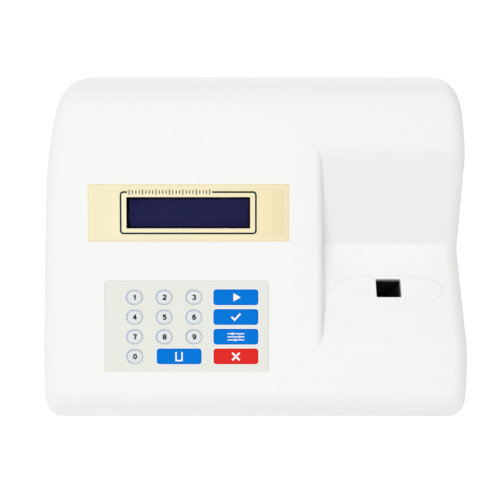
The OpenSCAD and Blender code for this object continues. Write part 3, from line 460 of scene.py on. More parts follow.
def slice_faces(bm, faces, place, cuts):
    """Cuts flat faces along lines, each given by an axis and its distance from the place."""
    for axis, reach in cuts:
        around = {element for face in faces for element in (face, *face.edges, *face.verts)}
        made = bmesh.ops.bisect_plane(
            bm,
            geom=list(around),
            dist=1e-7,
            plane_co=place @ (axis * reach),
            plane_no=place.to_3x3() @ axis,
        )
        faces = of_kind(made, FACE)
    return faces


def cut_opening(bm, faces, place, width, height):
    """Cuts a rectangle out of flat faces and returns the edges round it."""
    sides = [(ACROSS, side * width / 2) for side in (-1, 1)]
    sides += [(ALONG, side * height / 2) for side in (-1, 1)]
    back = place.inverted()
    inside = []
    for face in slice_faces(bm, faces, place, sides):
        middle = back @ face.calc_center_median()
        if abs(middle.x) < width / 2 and abs(middle.y) < height / 2:
            inside.append(face)
    rim = rim_of(inside)
    bmesh.ops.delete(bm, geom=inside, context="FACES")
    return rim


def sink_walls(bm, rim, vec):
    """Runs a wall from the edges of an opening."""
    made = bmesh.ops.extrude_edge_only(bm, edges=rim)
    bmesh.ops.translate(bm, verts=of_kind(made, VERT), vec=vec)


def between(start, end, steps):
    """Points on a straight line, both ends with them."""
    return [
        tuple(a + (b - a) * k / steps for a, b in zip(start, end))
        for k in range(steps + 1)
    ]


def sweep(start, end, steps):
    """Angles in radians from start to end, given in degrees."""
    return [math.radians(start + (end - start) * k / steps) for k in range(steps + 1)]


def arc(x, y, wide, tall, start, end, steps=18):
    """Points on an oval arc, with its angles in degrees."""
    return [
        (x + wide * math.cos(a), y + tall * math.sin(a)) for a in sweep(start, end, steps)
    ]


# Cover


def smooth_min(a, b, k):
    return min(a, b) - max(k - abs(a - b), 0) ** 2 / (4 * k)


def smooth_max(a, b, k):
    return -smooth_min(-a, -b, k)


class CoverForm:
    """Heights and widths of the cover along its depth."""

    WALL_STEPS, ROLL_STEPS, DECK_STEPS, FILLET_STEPS, BAY_STEPS = 4, 12, 8, 8, 8
    FRONT_STEPS, REAR_STEPS, CORNER_STEPS, BEND_STEPS = 14, 22, 24, 9

    def __init__(self, case, bay):
        self.case, self.bay = case, bay
        slope = case.deck_slope
        self.front_y = case.front_roll - case.half_d
        self.front_z = self.deck_plane(self.front_y) - case.front_roll / math.cos(slope)
        self.rear_y = case.half_d - case.rear_roll
        self.rear_z = self.deck_plane(self.rear_y) - case.rear_roll / math.cos(slope)

    def deck_plane(self, y):
        return self.case.deck_front + (y + self.case.half_d) * math.tan(self.case.deck_slope)

    def deck_top(self, y):
        case, lean = self.case, math.sin(self.case.deck_slope)
        if y < self.front_y - case.front_roll * lean:
            reach = case.front_roll**2 - (y - self.front_y) ** 2
            return self.front_z + math.sqrt(max(0, reach))
        if y > self.rear_y - case.rear_roll * lean:
            reach = case.rear_roll**2 - (y - self.rear_y) ** 2
            return self.rear_z + math.sqrt(max(0, reach))
        return self.deck_plane(y)

    def bay_top(self, y):
        bay = self.bay
        slope = bay.platform + (y - bay.back_y) * math.tan(bay.back_angle)
        floor = smooth_max(bay.platform, slope, bay.blend)
        return smooth_min(self.deck_top(y), floor, bay.edge)

    def half_width(self, y, side):
        """Half width of the rim at the left (side -1) or the right (side 1)."""
        case = self.case
        wide, deep = case.rear_corner_w, case.rear_corner_d
        if side > 0:
            wide, deep = case.right_corner_w, case.right_corner_d
        rear = y - case.half_d + deep
        front = case.front_corner_d - case.half_d - y
        drop = 0
        if rear > 0:
            drop = wide * self.corner(rear / deep)
        elif front > 0:
            drop = case.front_corner * self.corner(front / case.front_corner_d)
        return case.half_w - drop

    @staticmethod
    def corner(share):
        return 1 - math.sqrt(max(0, 1 - share * share))

    def wall_x(self, y, z, side):
        drop = (z - self.case.rim) * math.tan(self.case.side_draft)
        return self.half_width(y, side) - drop

    def left_wall(self, height):
        """Steps across the bay's left wall: a roll, a drafted wall and a fillet at the foot."""
        bay, least = self.bay, 0.0006
        high = max(height, least)
        both = bay.roll + bay.fillet
        lean = max(bay.draft, math.asin(max(-1, 1 - high / both)))
        upright = high - both * (1 - math.sin(lean))
        width = both * math.cos(lean) + upright * math.tan(lean)
        share = height / high
        turns = sweep(90, math.degrees(lean), self.FILLET_STEPS)
        upper = [(bay.roll * math.cos(a), share * bay.roll * (1 - math.sin(a))) for a in turns]
        lower = [
            (width - bay.fillet * math.cos(a), height - share * bay.fillet * (1 - math.sin(a)))
            for a in reversed(turns)
        ]
        return upper + lower

    def section(self, y):
        """Points across the cover from its left rim to its right rim."""
        roll = self.case.side_roll
        left_z, right_z = self.deck_top(y), self.bay_top(y)
        left_x = self.wall_x(y, left_z - roll, -1) - roll
        right_x = self.wall_x(y, right_z - roll, 1) - roll
        left = arc(-left_x, left_z - roll, roll, roll, 180, 90, self.ROLL_STEPS)
        right = arc(right_x, right_z - roll, roll, roll, 90, 0, self.ROLL_STEPS)
        start = self.bay.left_x + (self.bay.back_y - y) * math.tan(self.bay.skew)
        wall = self.left_wall(left_z - right_z)
        step = [(start + run, left_z - drop) for run, drop in wall]
        rim = self.case.rim
        return (
            between((-self.half_width(y, -1), rim), left[0], self.WALL_STEPS)[:-1]
            + left[:-1]
            + between(left[-1], step[0], self.DECK_STEPS)[:-1]
            + step[:-1]
            + between(step[-1], right[0], self.BAY_STEPS)[:-1]
            + right[:-1]
            + between(right[-1], (self.half_width(y, 1), rim), self.WALL_STEPS)
        )

    def stations(self, pad_rows):
        """Places along the depth, close together where the cover bends."""
        case, bay, steps, closest = self.case, self.bay, self.BEND_STEPS, 0.00012
        front_meet = (bay.platform - case.deck_front) / math.tan(case.deck_slope) - case.half_d
        rise = math.tan(bay.back_angle) - math.tan(case.deck_slope)
        gap = self.deck_plane(bay.back_y) - bay.platform
        top_meet = bay.back_y + gap / rise
        turns = sweep(0, 84, self.FRONT_STEPS)
        rows = [case.front_roll * (1 - math.cos(a)) - case.half_d for a in turns]
        for middle, reach in (
            (front_meet, bay.edge / math.tan(case.deck_slope)),
            (bay.back_y, bay.blend / math.tan(bay.back_angle)),
            (top_meet, bay.edge / rise),
        ):
            rows += [middle + reach * (k / steps) for k in range(-steps, steps + 1)]
        turns = sweep(-math.degrees(case.deck_slope), 90, self.REAR_STEPS)
        rows += [self.rear_y + case.rear_roll * math.sin(a) for a in turns]
        turns = sweep(10, 90, self.CORNER_STEPS)
        for deep in (case.rear_corner_d, case.right_corner_d):
            rows += [case.half_d - deep * (1 - math.sin(a)) for a in turns]
        turns = sweep(0, 90, self.CORNER_STEPS)
        rows += [case.front_corner_d * (1 - math.cos(a)) - case.half_d for a in turns]
        rows = sorted(y for y in rows if not pad_rows[0] < y < pad_rows[1])
        kept = []
        for y in sorted(rows + list(pad_rows)):
            if not kept or y - kept[-1] > closest:
                kept.append(y)
            elif y in pad_rows:
                kept[-1] = y
        kept[-1] = case.half_d
        return kept


def close_end(bm, y):
    """Closes the front or back of the cover with a flat wall."""
    ring = [e for e in bm.edges if all(abs(v.co.y - y) < 1e-7 for v in e.verts)]
    count = {}
    for edge in ring:
        for vert in edge.verts:
            count[vert] = count.get(vert, 0) + 1
    ends = [vert for vert, times in count.items() if times == 1]
    sill = bmesh.ops.contextual_create(bm, geom=ends)["edges"]
    return bmesh.ops.edgeloop_fill(bm, edges=ring + sill)["faces"]


PAD_FULLNESS, PAD_SEGMENTS = 0.83, 112
PAD_EDGE = (
    (0.0002, 0.00003),
    (0.0002, 0.00009),
    (0.0003, 0.00018),
    (0.0003, 0.00018),
    (0.0003, 0.00012),
    (0.0003, 0.00006),
    (0.0004, 0.00003),
    (0.0006, 0.00001),
)


def pad_and_slot(bm, form, rows):
    """Fills the platform round the pad, raises the pad and cuts the cuvette slot."""
    case, bay, (low, high) = form.case, form.bay, rows
    touch, fold = 1e-6, 1.0
    level = [
        f
        for f in bm.faces
        if low < f.calc_center_median().y < high
        and f.calc_center_median().x > bay.left_x
        and all(abs(v.co.z - bay.platform) < touch for v in f.verts)
    ]
    rim = rim_of(level)
    bmesh.ops.delete(bm, geom=level, context="FACES")
    made = bmesh.ops.create_circle(bm, cap_ends=True, segments=PAD_SEGMENTS, radius=1)
    for vert in made["verts"]:
        x, y = (math.copysign(abs(c) ** PAD_FULLNESS, c) for c in vert.co.xy)
        vert.co = (bay.pad_x + x * bay.pad_w / 2, bay.pad_y + y * bay.pad_d / 2, bay.platform)
    floor = made["verts"][0].link_faces[0]
    floor.normal_update()
    if floor.normal.z < 0:
        floor.normal_flip()
    loop = list(floor.edges)
    bmesh.ops.triangle_fill(
        bm, edges=rim + loop, use_beauty=True, use_dissolve=False, normal=(0, 0, 1)
    )
    inset(bm, floor, *PAD_EDGE)
    depth = floor.calc_center_median().z
    place = Matrix.Translation((bay.slot_x, bay.slot_y, depth))
    rim = cut_opening(bm, [floor], place, bay.slot_w, bay.slot_d)
    drop = bay.platform - case.wall - bay.collar - depth
    sink_walls(bm, rim, (0, 0, drop))

    def at_slot(vert):
        across, along = abs(vert.co.x - bay.slot_x), abs(vert.co.y - bay.slot_y)
        return across < bay.slot_w / 2 + touch and along < bay.slot_d / 2 + touch

    near = [e for e in bm.edges if all(at_slot(v) for v in e.verts)]
    upright = [e for e in near if abs(e.verts[0].co.z - e.verts[1].co.z) > abs(drop) / 2]
    round_off(bm, upright, bay.slot_corner, 4)
    lip = [
        e
        for e in bm.edges
        if all(at_slot(v) and abs(v.co.z - depth) < touch for v in e.verts)
        and e.calc_face_angle(0) > fold
    ]
    round_off(bm, lip, bay.slot_lip, 3)


class METER_OT_cover(bpy.types.Operator):
    """Moulds the cover with its bay, pad, slot and openings"""

    bl_idname = "meter.cover"
    bl_label = "Cover"

    def execute(self, context):
        scene = context.scene
        self.case, self.bay, self.face = scene.meter_case, scene.meter_bay, scene.meter_face
        bm = self.skin()
        self.deck_openings(bm)
        close_end(bm, -self.case.half_d)
        self.rear_opening(bm, close_end(bm, self.case.half_d))
        bmesh.ops.remove_doubles(bm, verts=bm.verts[:], dist=1e-6)
        bmesh.ops.recalc_face_normals(bm, faces=bm.faces[:])
        if top_face(bm).normal.z < 0:
            bmesh.ops.reverse_faces(bm, faces=bm.faces[:])
        tint = scene.meter_colours.cover
        white = finish("cover_white", tint, 0.45, tone=0.006, tone_scale=18, grain=0.12, gloss=0.35)
        cover = piece("cover_shell", bm, [white], "case", ["top_cover"], 40)
        shell = cover.modifiers.new("Wall", "SOLIDIFY")
        shell.thickness = self.case.wall
        shell.offset = -1
        shell.use_even_offset = True
        return {"FINISHED"}

    def skin(self):
        """The upper skin over all stations, with the pad and the slot in it."""
        bay, form = self.bay, CoverForm(self.case, self.bay)
        reach = 0.6 * bay.pad_d
        pad_rows = (bay.pad_y - reach, bay.pad_y + reach)
        rows = form.stations(pad_rows)
        sections = [form.section(y) for y in rows]
        across, along = len(sections[0]), len(rows)
        bm = bmesh.new()
        bmesh.ops.create_grid(bm, x_segments=across - 1, y_segments=along - 1, size=0.5)
        for vert in bm.verts:
            i = round((vert.co.x + 0.5) * (across - 1))
            j = round((vert.co.y + 0.5) * (along - 1))
            x, z = sections[j][i]
            vert.co = (x, rows[j], z)
        bm.normal_update()
        pad_and_slot(bm, form, pad_rows)
        return bm

    def deck_openings(self, bm):
        """Cuts the seat of the display window and the pocket of the keypad."""
        case, face, flat = self.case, self.face, 3e-6
        seat, lap = 2 * face.window_seat, 2 * face.pocket_margin
        window = (face.window_w + seat, face.window_h + seat, case.wall)
        pocket = (face.keypad_w - lap, face.keypad_h - lap, face.pocket_sink)
        for x, u, (width, height, deep) in (
            (face.panel_x, face.panel_u, window),
            (face.keypad_x, face.keypad_u, pocket),
        ):
            place = on_deck(case, x, u)
            back = place.inverted()
            deck = [
                f
                for f in bm.faces
                if f.calc_center_median().x < self.bay.left_x
                and all(abs((back @ v.co).z) < flat for v in f.verts)
            ]
            rim = cut_opening(bm, deck, place, width, height)
            sink_walls(bm, rim, place.to_3x3() @ Vector((0, 0, -deep)))

    def rear_opening(self, bm, back):
        """Cuts the recess of the rear panel out of the back."""
        gap, lip = 0.00015, 0.0006
        low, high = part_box("rear_panel")
        place = on_rear((low.x + high.x) / 2, self.case.half_d, (low.z + high.z) / 2)
        rim = cut_opening(bm, back, place, high.x - low.x + 2 * gap, high.z - low.z + 2 * gap)
        sink_walls(bm, rim, (0, low.y - self.case.half_d, 0))
        round_off(bm, [e for e in rim if e.is_valid], lip)


# Display


class METER_OT_display(bpy.types.Operator):
    """Makes the cream panel, its printed outline and scale, and the display behind it"""

    bl_idname = "meter.display"
    bl_label = "Display"

    def execute(self, context):
        scene = context.scene
        case, face, colours = scene.meter_case, scene.meter_face, scene.meter_colours
        place = on_deck(case, face.panel_x, face.panel_u)
        self.panel(face, colours, place)
        teal = finish("outline_teal", colours.teal, 0.45, tone=0.06, tone_scale=300, gloss=0.03)
        self.outline(face, teal, place)
        self.scale_marks(face, teal, place)
        self.glass(case, face, colours, place)
        dress("window_clear", (1, 1, 1), 0.03, "display_window", clear=1, ior=1.03)
        dress("bezel_black", linear(16, 14, 20), 0.5, "lcd_bezel", grain=0.1)
        return {"FINISHED"}

    def panel(self, face, colours, place):
        """The cream plate with its bevel, a fine pale line inside it that is a painted highlight, and
        the window.
        """
        edge_w, bevel_w, drop, line_w, dip = 0.00035, 0.0014, 0.0005, 0.00022, 0.00008
        bm = bmesh.new()
        top = slab(bm, face.panel_w, face.panel_h, face.panel_t - drop, 0)
        for f in bm.faces:
            f.material_index = 1
        inset(bm, top, (edge_w, 0))
        top.material_index = 0
        for f in inset(bm, top, (bevel_w, drop)):
            f.material_index = 0
        # The groove inside the bevel takes the painted highlight.
        for f in inset(bm, top, (line_w, -dip), (line_w, dip)):
            f.material_index = 2
        level = Matrix.Translation((0, 0, face.panel_t))
        upper = cut_opening(bm, [top], level, face.window_w, face.window_h)
        floor = min(bm.faces, key=lambda f: f.calc_center_median().z)
        lower = cut_opening(bm, [floor], Matrix.Identity(4), face.window_w, face.window_h)
        bmesh.ops.bridge_loops(bm, edges=upper + lower)
        bmesh.ops.recalc_face_normals(bm, faces=bm.faces[:])
        layer = bm.verts.layers.float.new("across")
        for v in bm.verts:
            v[layer] = 0.5 + v.co.x / face.panel_w
        bm.transform(place)
        cream = run_finish("panel_cream", colours.cream, colours.cream_far)
        look = {"tone": 0.02, "tone_scale": 60, "gloss": 0.3}
        edge = finish("panel_edge", colours.cream_edge, 0.3, **look)
        line = finish("panel_highlight_line", colours.cream_highlight, 0.3, **look)
        finishes = [cream, edge, line]
        piece("display_face", bm, finishes, "case", ["display_panel"], 20)

    def outline(self, face, teal, place):
        """The printed line round the window, open above it."""
        width, height, line, corner = 0.0862, 0.0263, 0.00112, 0.0018
        gap = (-0.0390, 0.0153)
        path = round_rect(width, height, corner)
        path[0], path[-1] = (gap[0], height / 2), (gap[1], height / 2)
        bm = bmesh.new()
        ribbon(bm, path, line)
        bm.transform(place @ Matrix.Translation((0, 0, face.panel_t)))
        piece("window_outline", bm, [teal], "case")

    def scale_marks(self, face, teal, place):
        """A plain row of scale marks in the gap of the outline."""
        first, pitch, count, middle = -0.0376, 0.00214, 25, 0.01316
        short, long, every, line = 0.0011, 0.0016, 4, 0.00062
        bm = bmesh.new()
        for k in range(count):
            half = short if k % every else long
            x = first + pitch * k
            ribbon(bm, [(x, middle - half), (x, middle + half)], line)
        bm.transform(place @ Matrix.Translation((0, 0, face.panel_t)))
        piece("scale_marks", bm, [teal], "case")

    def glass(self, case, face, colours, place):
        """The display with its dark border, seated under the window."""
        sink, thick, corner = 0.0062, 0.0022, 0.0004
        over, border = 2 * 0.0028, 2 * 0.0011
        bm = bmesh.new()
        top = slab(bm, face.window_w + over, face.window_h + over, thick, corner, 2)
        for f in bm.faces:
            f.material_index = 1
        upper = Matrix.Translation((0, 0, thick))
        rim = cut_opening(bm, [top], upper, face.window_w - border, face.window_h - border)
        for f in bmesh.ops.edgeloop_fill(bm, edges=rim)["faces"]:
            f.material_index = 0
        bmesh.ops.recalc_face_normals(bm, faces=bm.faces[:])
        bm.transform(place @ Matrix.Translation((0, 0, -sink)))
        navy = display_finish("display_navy", colours.navy, case.deck_slope)
        black = finish("display_border", linear(14, 11, 20), 0.4, tone=0.1, gloss=0)
        piece("display_glass", bm, [navy, black], "case", ["lcd_glass"])


# Keypad


PRINT_T = 0.00004


def round_rect(width, height, corner):
    """Points round a rectangle with round corners, from the middle of its upper side."""
    x, y = width / 2 - corner, height / 2 - corner
    sides = [(0, height / 2)]
    for across, up, start in ((-x, y, 90), (-x, -y, 180), (x, -y, 270), (x, y, 360)):
        sides += arc(across, up, corner, corner, start, start + 90, 8)
    return sides + [(0, height / 2)]


def ribbon(bm, path, width, thick=PRINT_T):
    """Lays a printed line along a path on z = 0, extruding one edge from point to point."""
    points = [Vector((x, y, 0)) for x, y in path]
    closed = (points[0] - points[-1]).length < 1e-7
    if closed:
        points.pop()
    count, pairs = len(points), []
    for k, point in enumerate(points):
        into = point - points[k - 1] if k or closed else points[1] - point
        out = points[(k + 1) % count] - point if k + 1 < count or closed else into
        lean = (into.normalized() + out.normalized()).normalized()
        side = Vector((-lean.y, lean.x, 0))
        reach = side * width / 2 / max(0.4, lean.dot(out.normalized()))
        pairs.append((point + reach, point - reach))
    if closed:
        pairs.append(pairs[0])
    others, last = set(bm.faces), pairs[0]
    edge = bm.edges.new([bm.verts.new(point) for point in last])
    for pair in pairs[1:]:
        old = set(edge.verts)
        made = bmesh.ops.extrude_edge_only(bm, edges=[edge])
        edge = next(e for e in of_kind(made, EDGE) if not old & set(e.verts))
        for vert in edge.verts:
            first = (vert.co - last[0]).length < (vert.co - last[1]).length
            vert.co = pair[0] if first else pair[1]
        last = pair
    flat = [f for f in bm.faces if f not in others]
    if closed:
        bmesh.ops.remove_doubles(bm, verts=list({v for f in flat for v in f.verts}), dist=1e-8)
    extrude(bm, flat, thick, keep=True)
    bmesh.ops.recalc_face_normals(bm, faces=[f for f in bm.faces if f not in others])


HOOK = arc(0.02, 0, 0.34, 0.5, 48, 180) + [(-0.33, -0.2)]
BOWL = arc(0, -0.2, 0.34, 0.3, 0, 360)
DIGIT_PATHS = (
    [arc(0, 0, 0.34, 0.5, 90, 450)],
    [[(0.06, -0.6), (0.06, 0.6)], [(-0.28, 0.22), (0.02, 0.44)]],
    [arc(0, 0.2, 0.33, 0.3, 165, -28) + [(-0.32, -0.45)], [(-0.44, -0.5), (0.44, -0.5)]],
    [arc(-0.02, 0.25, 0.3, 0.25, 160, -90), arc(-0.02, -0.25, 0.34, 0.25, 90, -160)],
    [[(0.14, -0.6), (0.14, 0.6)], [(0.1, 0.5), (-0.3, -0.2)], [(-0.44, -0.22), (0.44, -0.22)]],
    [[(0.36, 0.5), (-0.3, 0.5)], [(-0.22, 0.5), (-0.27, 0)], arc(0, -0.17, 0.34, 0.33, 145, -155)],
    [HOOK, BOWL],
    [[(-0.42, 0.5), (0.42, 0.5)], [(0.3, 0.46), (-0.1, -0.6)]],
    [arc(0, 0.25, 0.28, 0.25, 0, 360), arc(0, -0.25, 0.34, 0.25, 0, 360)],
    [[(-x, -y) for x, y in path] for path in (HOOK, BOWL)],
)


class METER_OT_keypad(bpy.types.Operator):
    """Makes the number keys and the function keys with their marks"""

    bl_idname = "meter.keypad"
    bl_label = "Keypad"

    ROW_SHIFT, MIDDLE_ROW = 0.0002, 1.5
    TOP = 0.0010
    FLANGE = 0.0003
    FLANGE_W = 0.0008
    NUMBER_SIDE = (0.00004, 0.0006)
    NUMBER_RIM = ((0.00014, 0.00022), (0.0002, 0.00012), (0.00022, 0.00002))
    NUMBER_DISH = ((0.0002, -0.00008), (0.0004, -0.00008), (0.0008, 0.00005), (0.0008, 0.00003))
    BAR_CORNER = 0.0016
    BAR_EDGE = ((0.00004, 0.0007), (0.00012, 0.00018), (0.0002, 0.0001), (0.0003, 0.00002))
    DIGIT_H = 0.0027
    DIGIT_SHIFT = 0.0003
    INK_W = 0.00084

    def execute(self, context):
        scene = context.scene
        self.case, self.face = scene.meter_case, scene.meter_face
        self.colours = scene.meter_colours
        look = {"tone": 0.012, "tone_scale": 30, "grain": 0.1}
        dress("overlay_grey", self.colours.overlay, 0.5, "keypad_overlay", edge=0.00012, **look)
        self.edge_shading()
        self.number_keys()
        self.bar_keys()
        return {"FINISHED"}

    def row(self, k):
        """Place of a row of keys along the deck."""
        middle = self.face.keypad_u - self.ROW_SHIFT
        return middle + (self.MIDDLE_ROW - k) * self.face.row_pitch

    def number_keys(self):
        face, colours = self.face, self.colours
        pale = finish("key_pale", colours.key_pale, 0.3, tone=0.012, tone_scale=200, gloss=0.4)
        # The rim's finish runs from its shaded to its lit colour: painted shade on a real rim.
        rim = run_finish("key_rim_shaded", colours.key_rim_shaded, colours.key_rim_lit)
        ink = finish("digit_ink", colours.dark_print, 0.5, tone=0.08, tone_scale=600, gloss=0.1)
        for digit in DIGITS:
            order = int(digit) - 1
            column, line = (0, 3) if order < 0 else (order % 3, order // 3)
            x = face.first_x + column * face.column_pitch
            place = on_deck(self.case, x, self.row(line))
            self.add_cap(digit, self.number_cap(), [pale, rim], "key_pale", place)
            mark, size = bmesh.new(), self.DIGIT_H
            for path in DIGIT_PATHS[int(digit)]:
                ribbon(mark, [(px * size, py * size) for px, py in path], self.INK_W)
            mark.transform(place @ Matrix.Translation((self.DIGIT_SHIFT, 0, self.TOP - PRINT_T)))
            piece(f"digit_{digit}", mark, [ink], f"key_{digit}_body")

    def add_cap(self, key, bm, finishes, slot, place):
        """Seats a cap, drawn from the foot of its flange, on the body of its key."""
        bm.transform(place @ Matrix.Translation((0, 0, -self.FLANGE)))
        piece(f"key_{key}_cap", bm, finishes, f"key_{key}_body", [f"key_{key}"], 50)

    def number_cap(self):
        """A pale oval cap with a rim round a shallow dish, its rim carrying a share for painted
        shade.
        """
        face, tilt = self.face, 0.15
        bm = bmesh.new()
        wide, tall = face.key_w + 2 * self.FLANGE_W, face.key_h + 2 * self.FLANGE_W
        top = oval(bm, wide, tall, self.FLANGE)
        inset(bm, top, (self.FLANGE_W, 0), self.NUMBER_SIDE)
        for f in inset(bm, top, *self.NUMBER_RIM):
            f.material_index = 1
        inset(bm, top, *self.NUMBER_DISH)
        # The share runs the rim from its painted shade on the left to its lit side on the right, a
        # little tilted.
        layer = bm.verts.layers.float.new("across")
        for v in bm.verts:
            lean = v.co.x / face.key_w - tilt * v.co.y / face.key_h
            v[layer] = min(1, max(0, 0.5 + lean))
        return bm

    def bar_keys(self):
        face, colours = self.face, self.colours
        look = {"tone": 0.02, "tone_scale": 120, "grain": 0.04, "gloss": 0.02}
        blue = finish("key_blue", colours.blue, 0.4, **look)
        red = finish("key_red", colours.red, 0.4, **look)
        white = finish("mark_white", colours.white_print, 0.45, tone=0.01, tone_scale=400)
        wide_x = face.first_x + 1.5 * face.column_pitch
        sites = [(name, face.bar_x, k) for k, name in enumerate(BAR_KEYS)]
        sites.append(("zero", wide_x, 3))
        frames = bmesh.new()
        for name, x, line in sites:
            place = on_deck(self.case, x, self.row(line))
            tint, slot = (red, "key_red") if name == "cancel" else (blue, "key_blue")
            self.add_cap(name, self.bar_cap(), [tint], slot, place)
            mark = bmesh.new()
            getattr(self, f"{name}_mark")(mark)
            mark.transform(place @ Matrix.Translation((0, 0, self.TOP)))
            piece(f"mark_{name}", mark, [white], f"key_{name}_body")
            self.frame_round(frames, place)
        piece("key_frames", frames, [white], "case")

    def bar_cap(self):
        """A flat cap with round corners and a soft edge."""
        face = self.face
        bm = bmesh.new()
        wide, tall = face.bar_w + 2 * self.FLANGE_W, face.bar_h + 2 * self.FLANGE_W
        top = slab(bm, wide, tall, self.FLANGE, self.BAR_CORNER + self.FLANGE_W)
        inset(bm, top, (self.FLANGE_W, 0), *self.BAR_EDGE)
        return bm

    def frame_round(self, frames, place):
        """A fine white line printed round a function key."""
        face, gap, line = self.face, 0.0003, 0.0005
        reach = 2 * gap + line
        bm = bmesh.new()
        corner = self.BAR_CORNER + reach / 2
        ribbon(bm, round_rect(face.bar_w + reach, face.bar_h + reach, corner), line)
        bm.transform(place @ Matrix.Translation((0, 0, face.overlay_t)))
        add_mesh(frames, bm)

    def edge_shading(self):
        """Painted light round the overlay: a fine darker line of painted shade on three sides and a
        pale line of painted highlight along the front.
        """
        face, line, corner, margin = self.face, 0.00026, 0.0014, 0.0002
        bm = bmesh.new()
        wide, tall = face.keypad_w - line - margin, face.keypad_h - line - margin
        ribbon(bm, round_rect(wide, tall, corner), line, PRINT_T / 4)
        # The front stretch takes the painted highlight, the other sides the painted shade.
        for f in bm.faces:
            f.material_index = int(f.calc_center_median().y < line - tall / 2)
        place = on_deck(self.case, face.keypad_x, face.keypad_u, face.overlay_t)
        bm.transform(place)
        edge = finish("overlay_painted_shade", self.colours.overlay_edge_shading, 0.5, tone=0.03, tone_scale=200)
        lip = finish("overlay_edge_highlight", self.colours.overlay_edge_highlight, 0.5, tone=0.01, tone_scale=200)
        piece("overlay_edge_shading", bm, [edge, lip], "case")

    def start_mark(self, bm):
        reach = 0.0031
        bmesh.ops.create_cone(
            bm,
            cap_ends=True,
            segments=3,
            radius1=reach,
            radius2=reach,
            depth=PRINT_T,
            matrix=Matrix.Rotation(-math.pi / 2, 4, "Z"),
        )

    def enter_mark(self, bm):
        ribbon(bm, [(-0.0028, 0.0002), (-0.0008, -0.0018), (0.0029, 0.0022)], 0.0011)

    def setup_mark(self, bm):
        for level, knob in ((0.0020, -0.0022), (0.0, 0.0024), (-0.0020, -0.0004)):
            ribbon(bm, [(-0.0054, level), (0.0054, level)], 0.0006)
            ribbon(bm, [(knob, level - 0.0008), (knob, level + 0.0008)], 0.0012)

    def zero_mark(self, bm):
        x, low, high = 0.0019, -0.0026, 0.0030
        ribbon(bm, [(-x, high), (-x, low), (x, low), (x, high)], 0.0009)

    def cancel_mark(self, bm):
        for side in (-1, 1):
            ribbon(bm, [(-0.0024, side * -0.0024), (0.0024, side * 0.0024)], 0.0012)


# Rear and base


def screw_places(node, back):
    """Middle and top of each separate screw of a node, in the frame that back leads to."""
    bm = bmesh.new()
    bm.from_mesh(NODES[node].data)
    bmesh.ops.remove_doubles(bm, verts=bm.verts[:], dist=1e-6)
    left, places = set(bm.verts), []
    while left:
        group = [left.pop()]
        for vert in group:
            joined = {e.other_vert(vert) for e in vert.link_edges} & left
            left -= joined
            group += joined
        local = [back @ vert.co for vert in group]
        x, y = ((min(c) + max(c)) / 2 for c in zip(*(p.xy for p in local)))
        places.append((x, y, max(p.z for p in local)))
    bm.free()
    return sorted(places)


SCREW_R, SCREW_H, HEAD_RIM = 0.0028, 0.0018, 0.0008
SHANK_R, SHANK_TIP, SHANK_H, SHANK_LAP = 0.0015, 0.0009, 0.006, 0.0002
HEAD_DOME = ((0.00018, 0.0005), (0.0004, 0.00032), (0.0005, 0.00018))
CROSS_ARM, CROSS_HALF, CROSS_SINK = 0.0011, 0.00028, 0.0009


def screw():
    """A pan head with a cross recess, and a plain shank below."""
    bm = bmesh.new()
    bmesh.ops.create_circle(bm, cap_ends=True, segments=28, radius=SCREW_R)
    top = thicken(bm, HEAD_RIM)
    inset(bm, top, *HEAD_DOME)
    level = top.calc_center_median().z
    reaches = (-CROSS_ARM, -CROSS_HALF, CROSS_HALF, CROSS_ARM)
    cuts = [(axis, reach) for axis in (ACROSS, ALONG) for reach in reaches]
    cross = []
    for face in slice_faces(bm, [top], Matrix.Identity(4), cuts):
        near, far = sorted(abs(c) for c in face.calc_center_median().xy)
        if near < CROSS_HALF and far < CROSS_ARM:
            cross.append(face)
    extrude(bm, cross, -CROSS_SINK, keep=False)
    bmesh.ops.delete(bm, geom=[f for f in cross if f.is_valid], context="FACES")
    skin = 1e-5
    # The recess walls take the second finish, a darker steel that is painted shade.
    for face in bm.faces:
        x, y, z = face.calc_center_median()
        if max(abs(x), abs(y)) < CROSS_ARM + skin and 0 < z < level - skin:
            face.material_index = 1
    bmesh.ops.create_cone(
        bm,
        cap_ends=True,
        segments=16,
        radius1=SHANK_TIP,
        radius2=SHANK_R,
        depth=SHANK_H,
        matrix=Matrix.Translation((0, 0, SHANK_LAP - SHANK_H / 2)),
    )
    return bm


def screw_heads(name, node, finishes, turn):
    """Dressed screws in place of each screw of a node, no two turned alike."""
    first, each = 0.6, 1.1
    whole = bmesh.new()
    for k, (x, y, top) in enumerate(screw_places(node, turn.inverted())):
        one = screw()
        place = Matrix.Translation((x, y, top - SCREW_H))
        one.transform(turn @ place @ Matrix.Rotation(first + each * k, 4, "Z"))
        add_mesh(whole, one)
    piece(name, whole, finishes, "case", [node], 40)


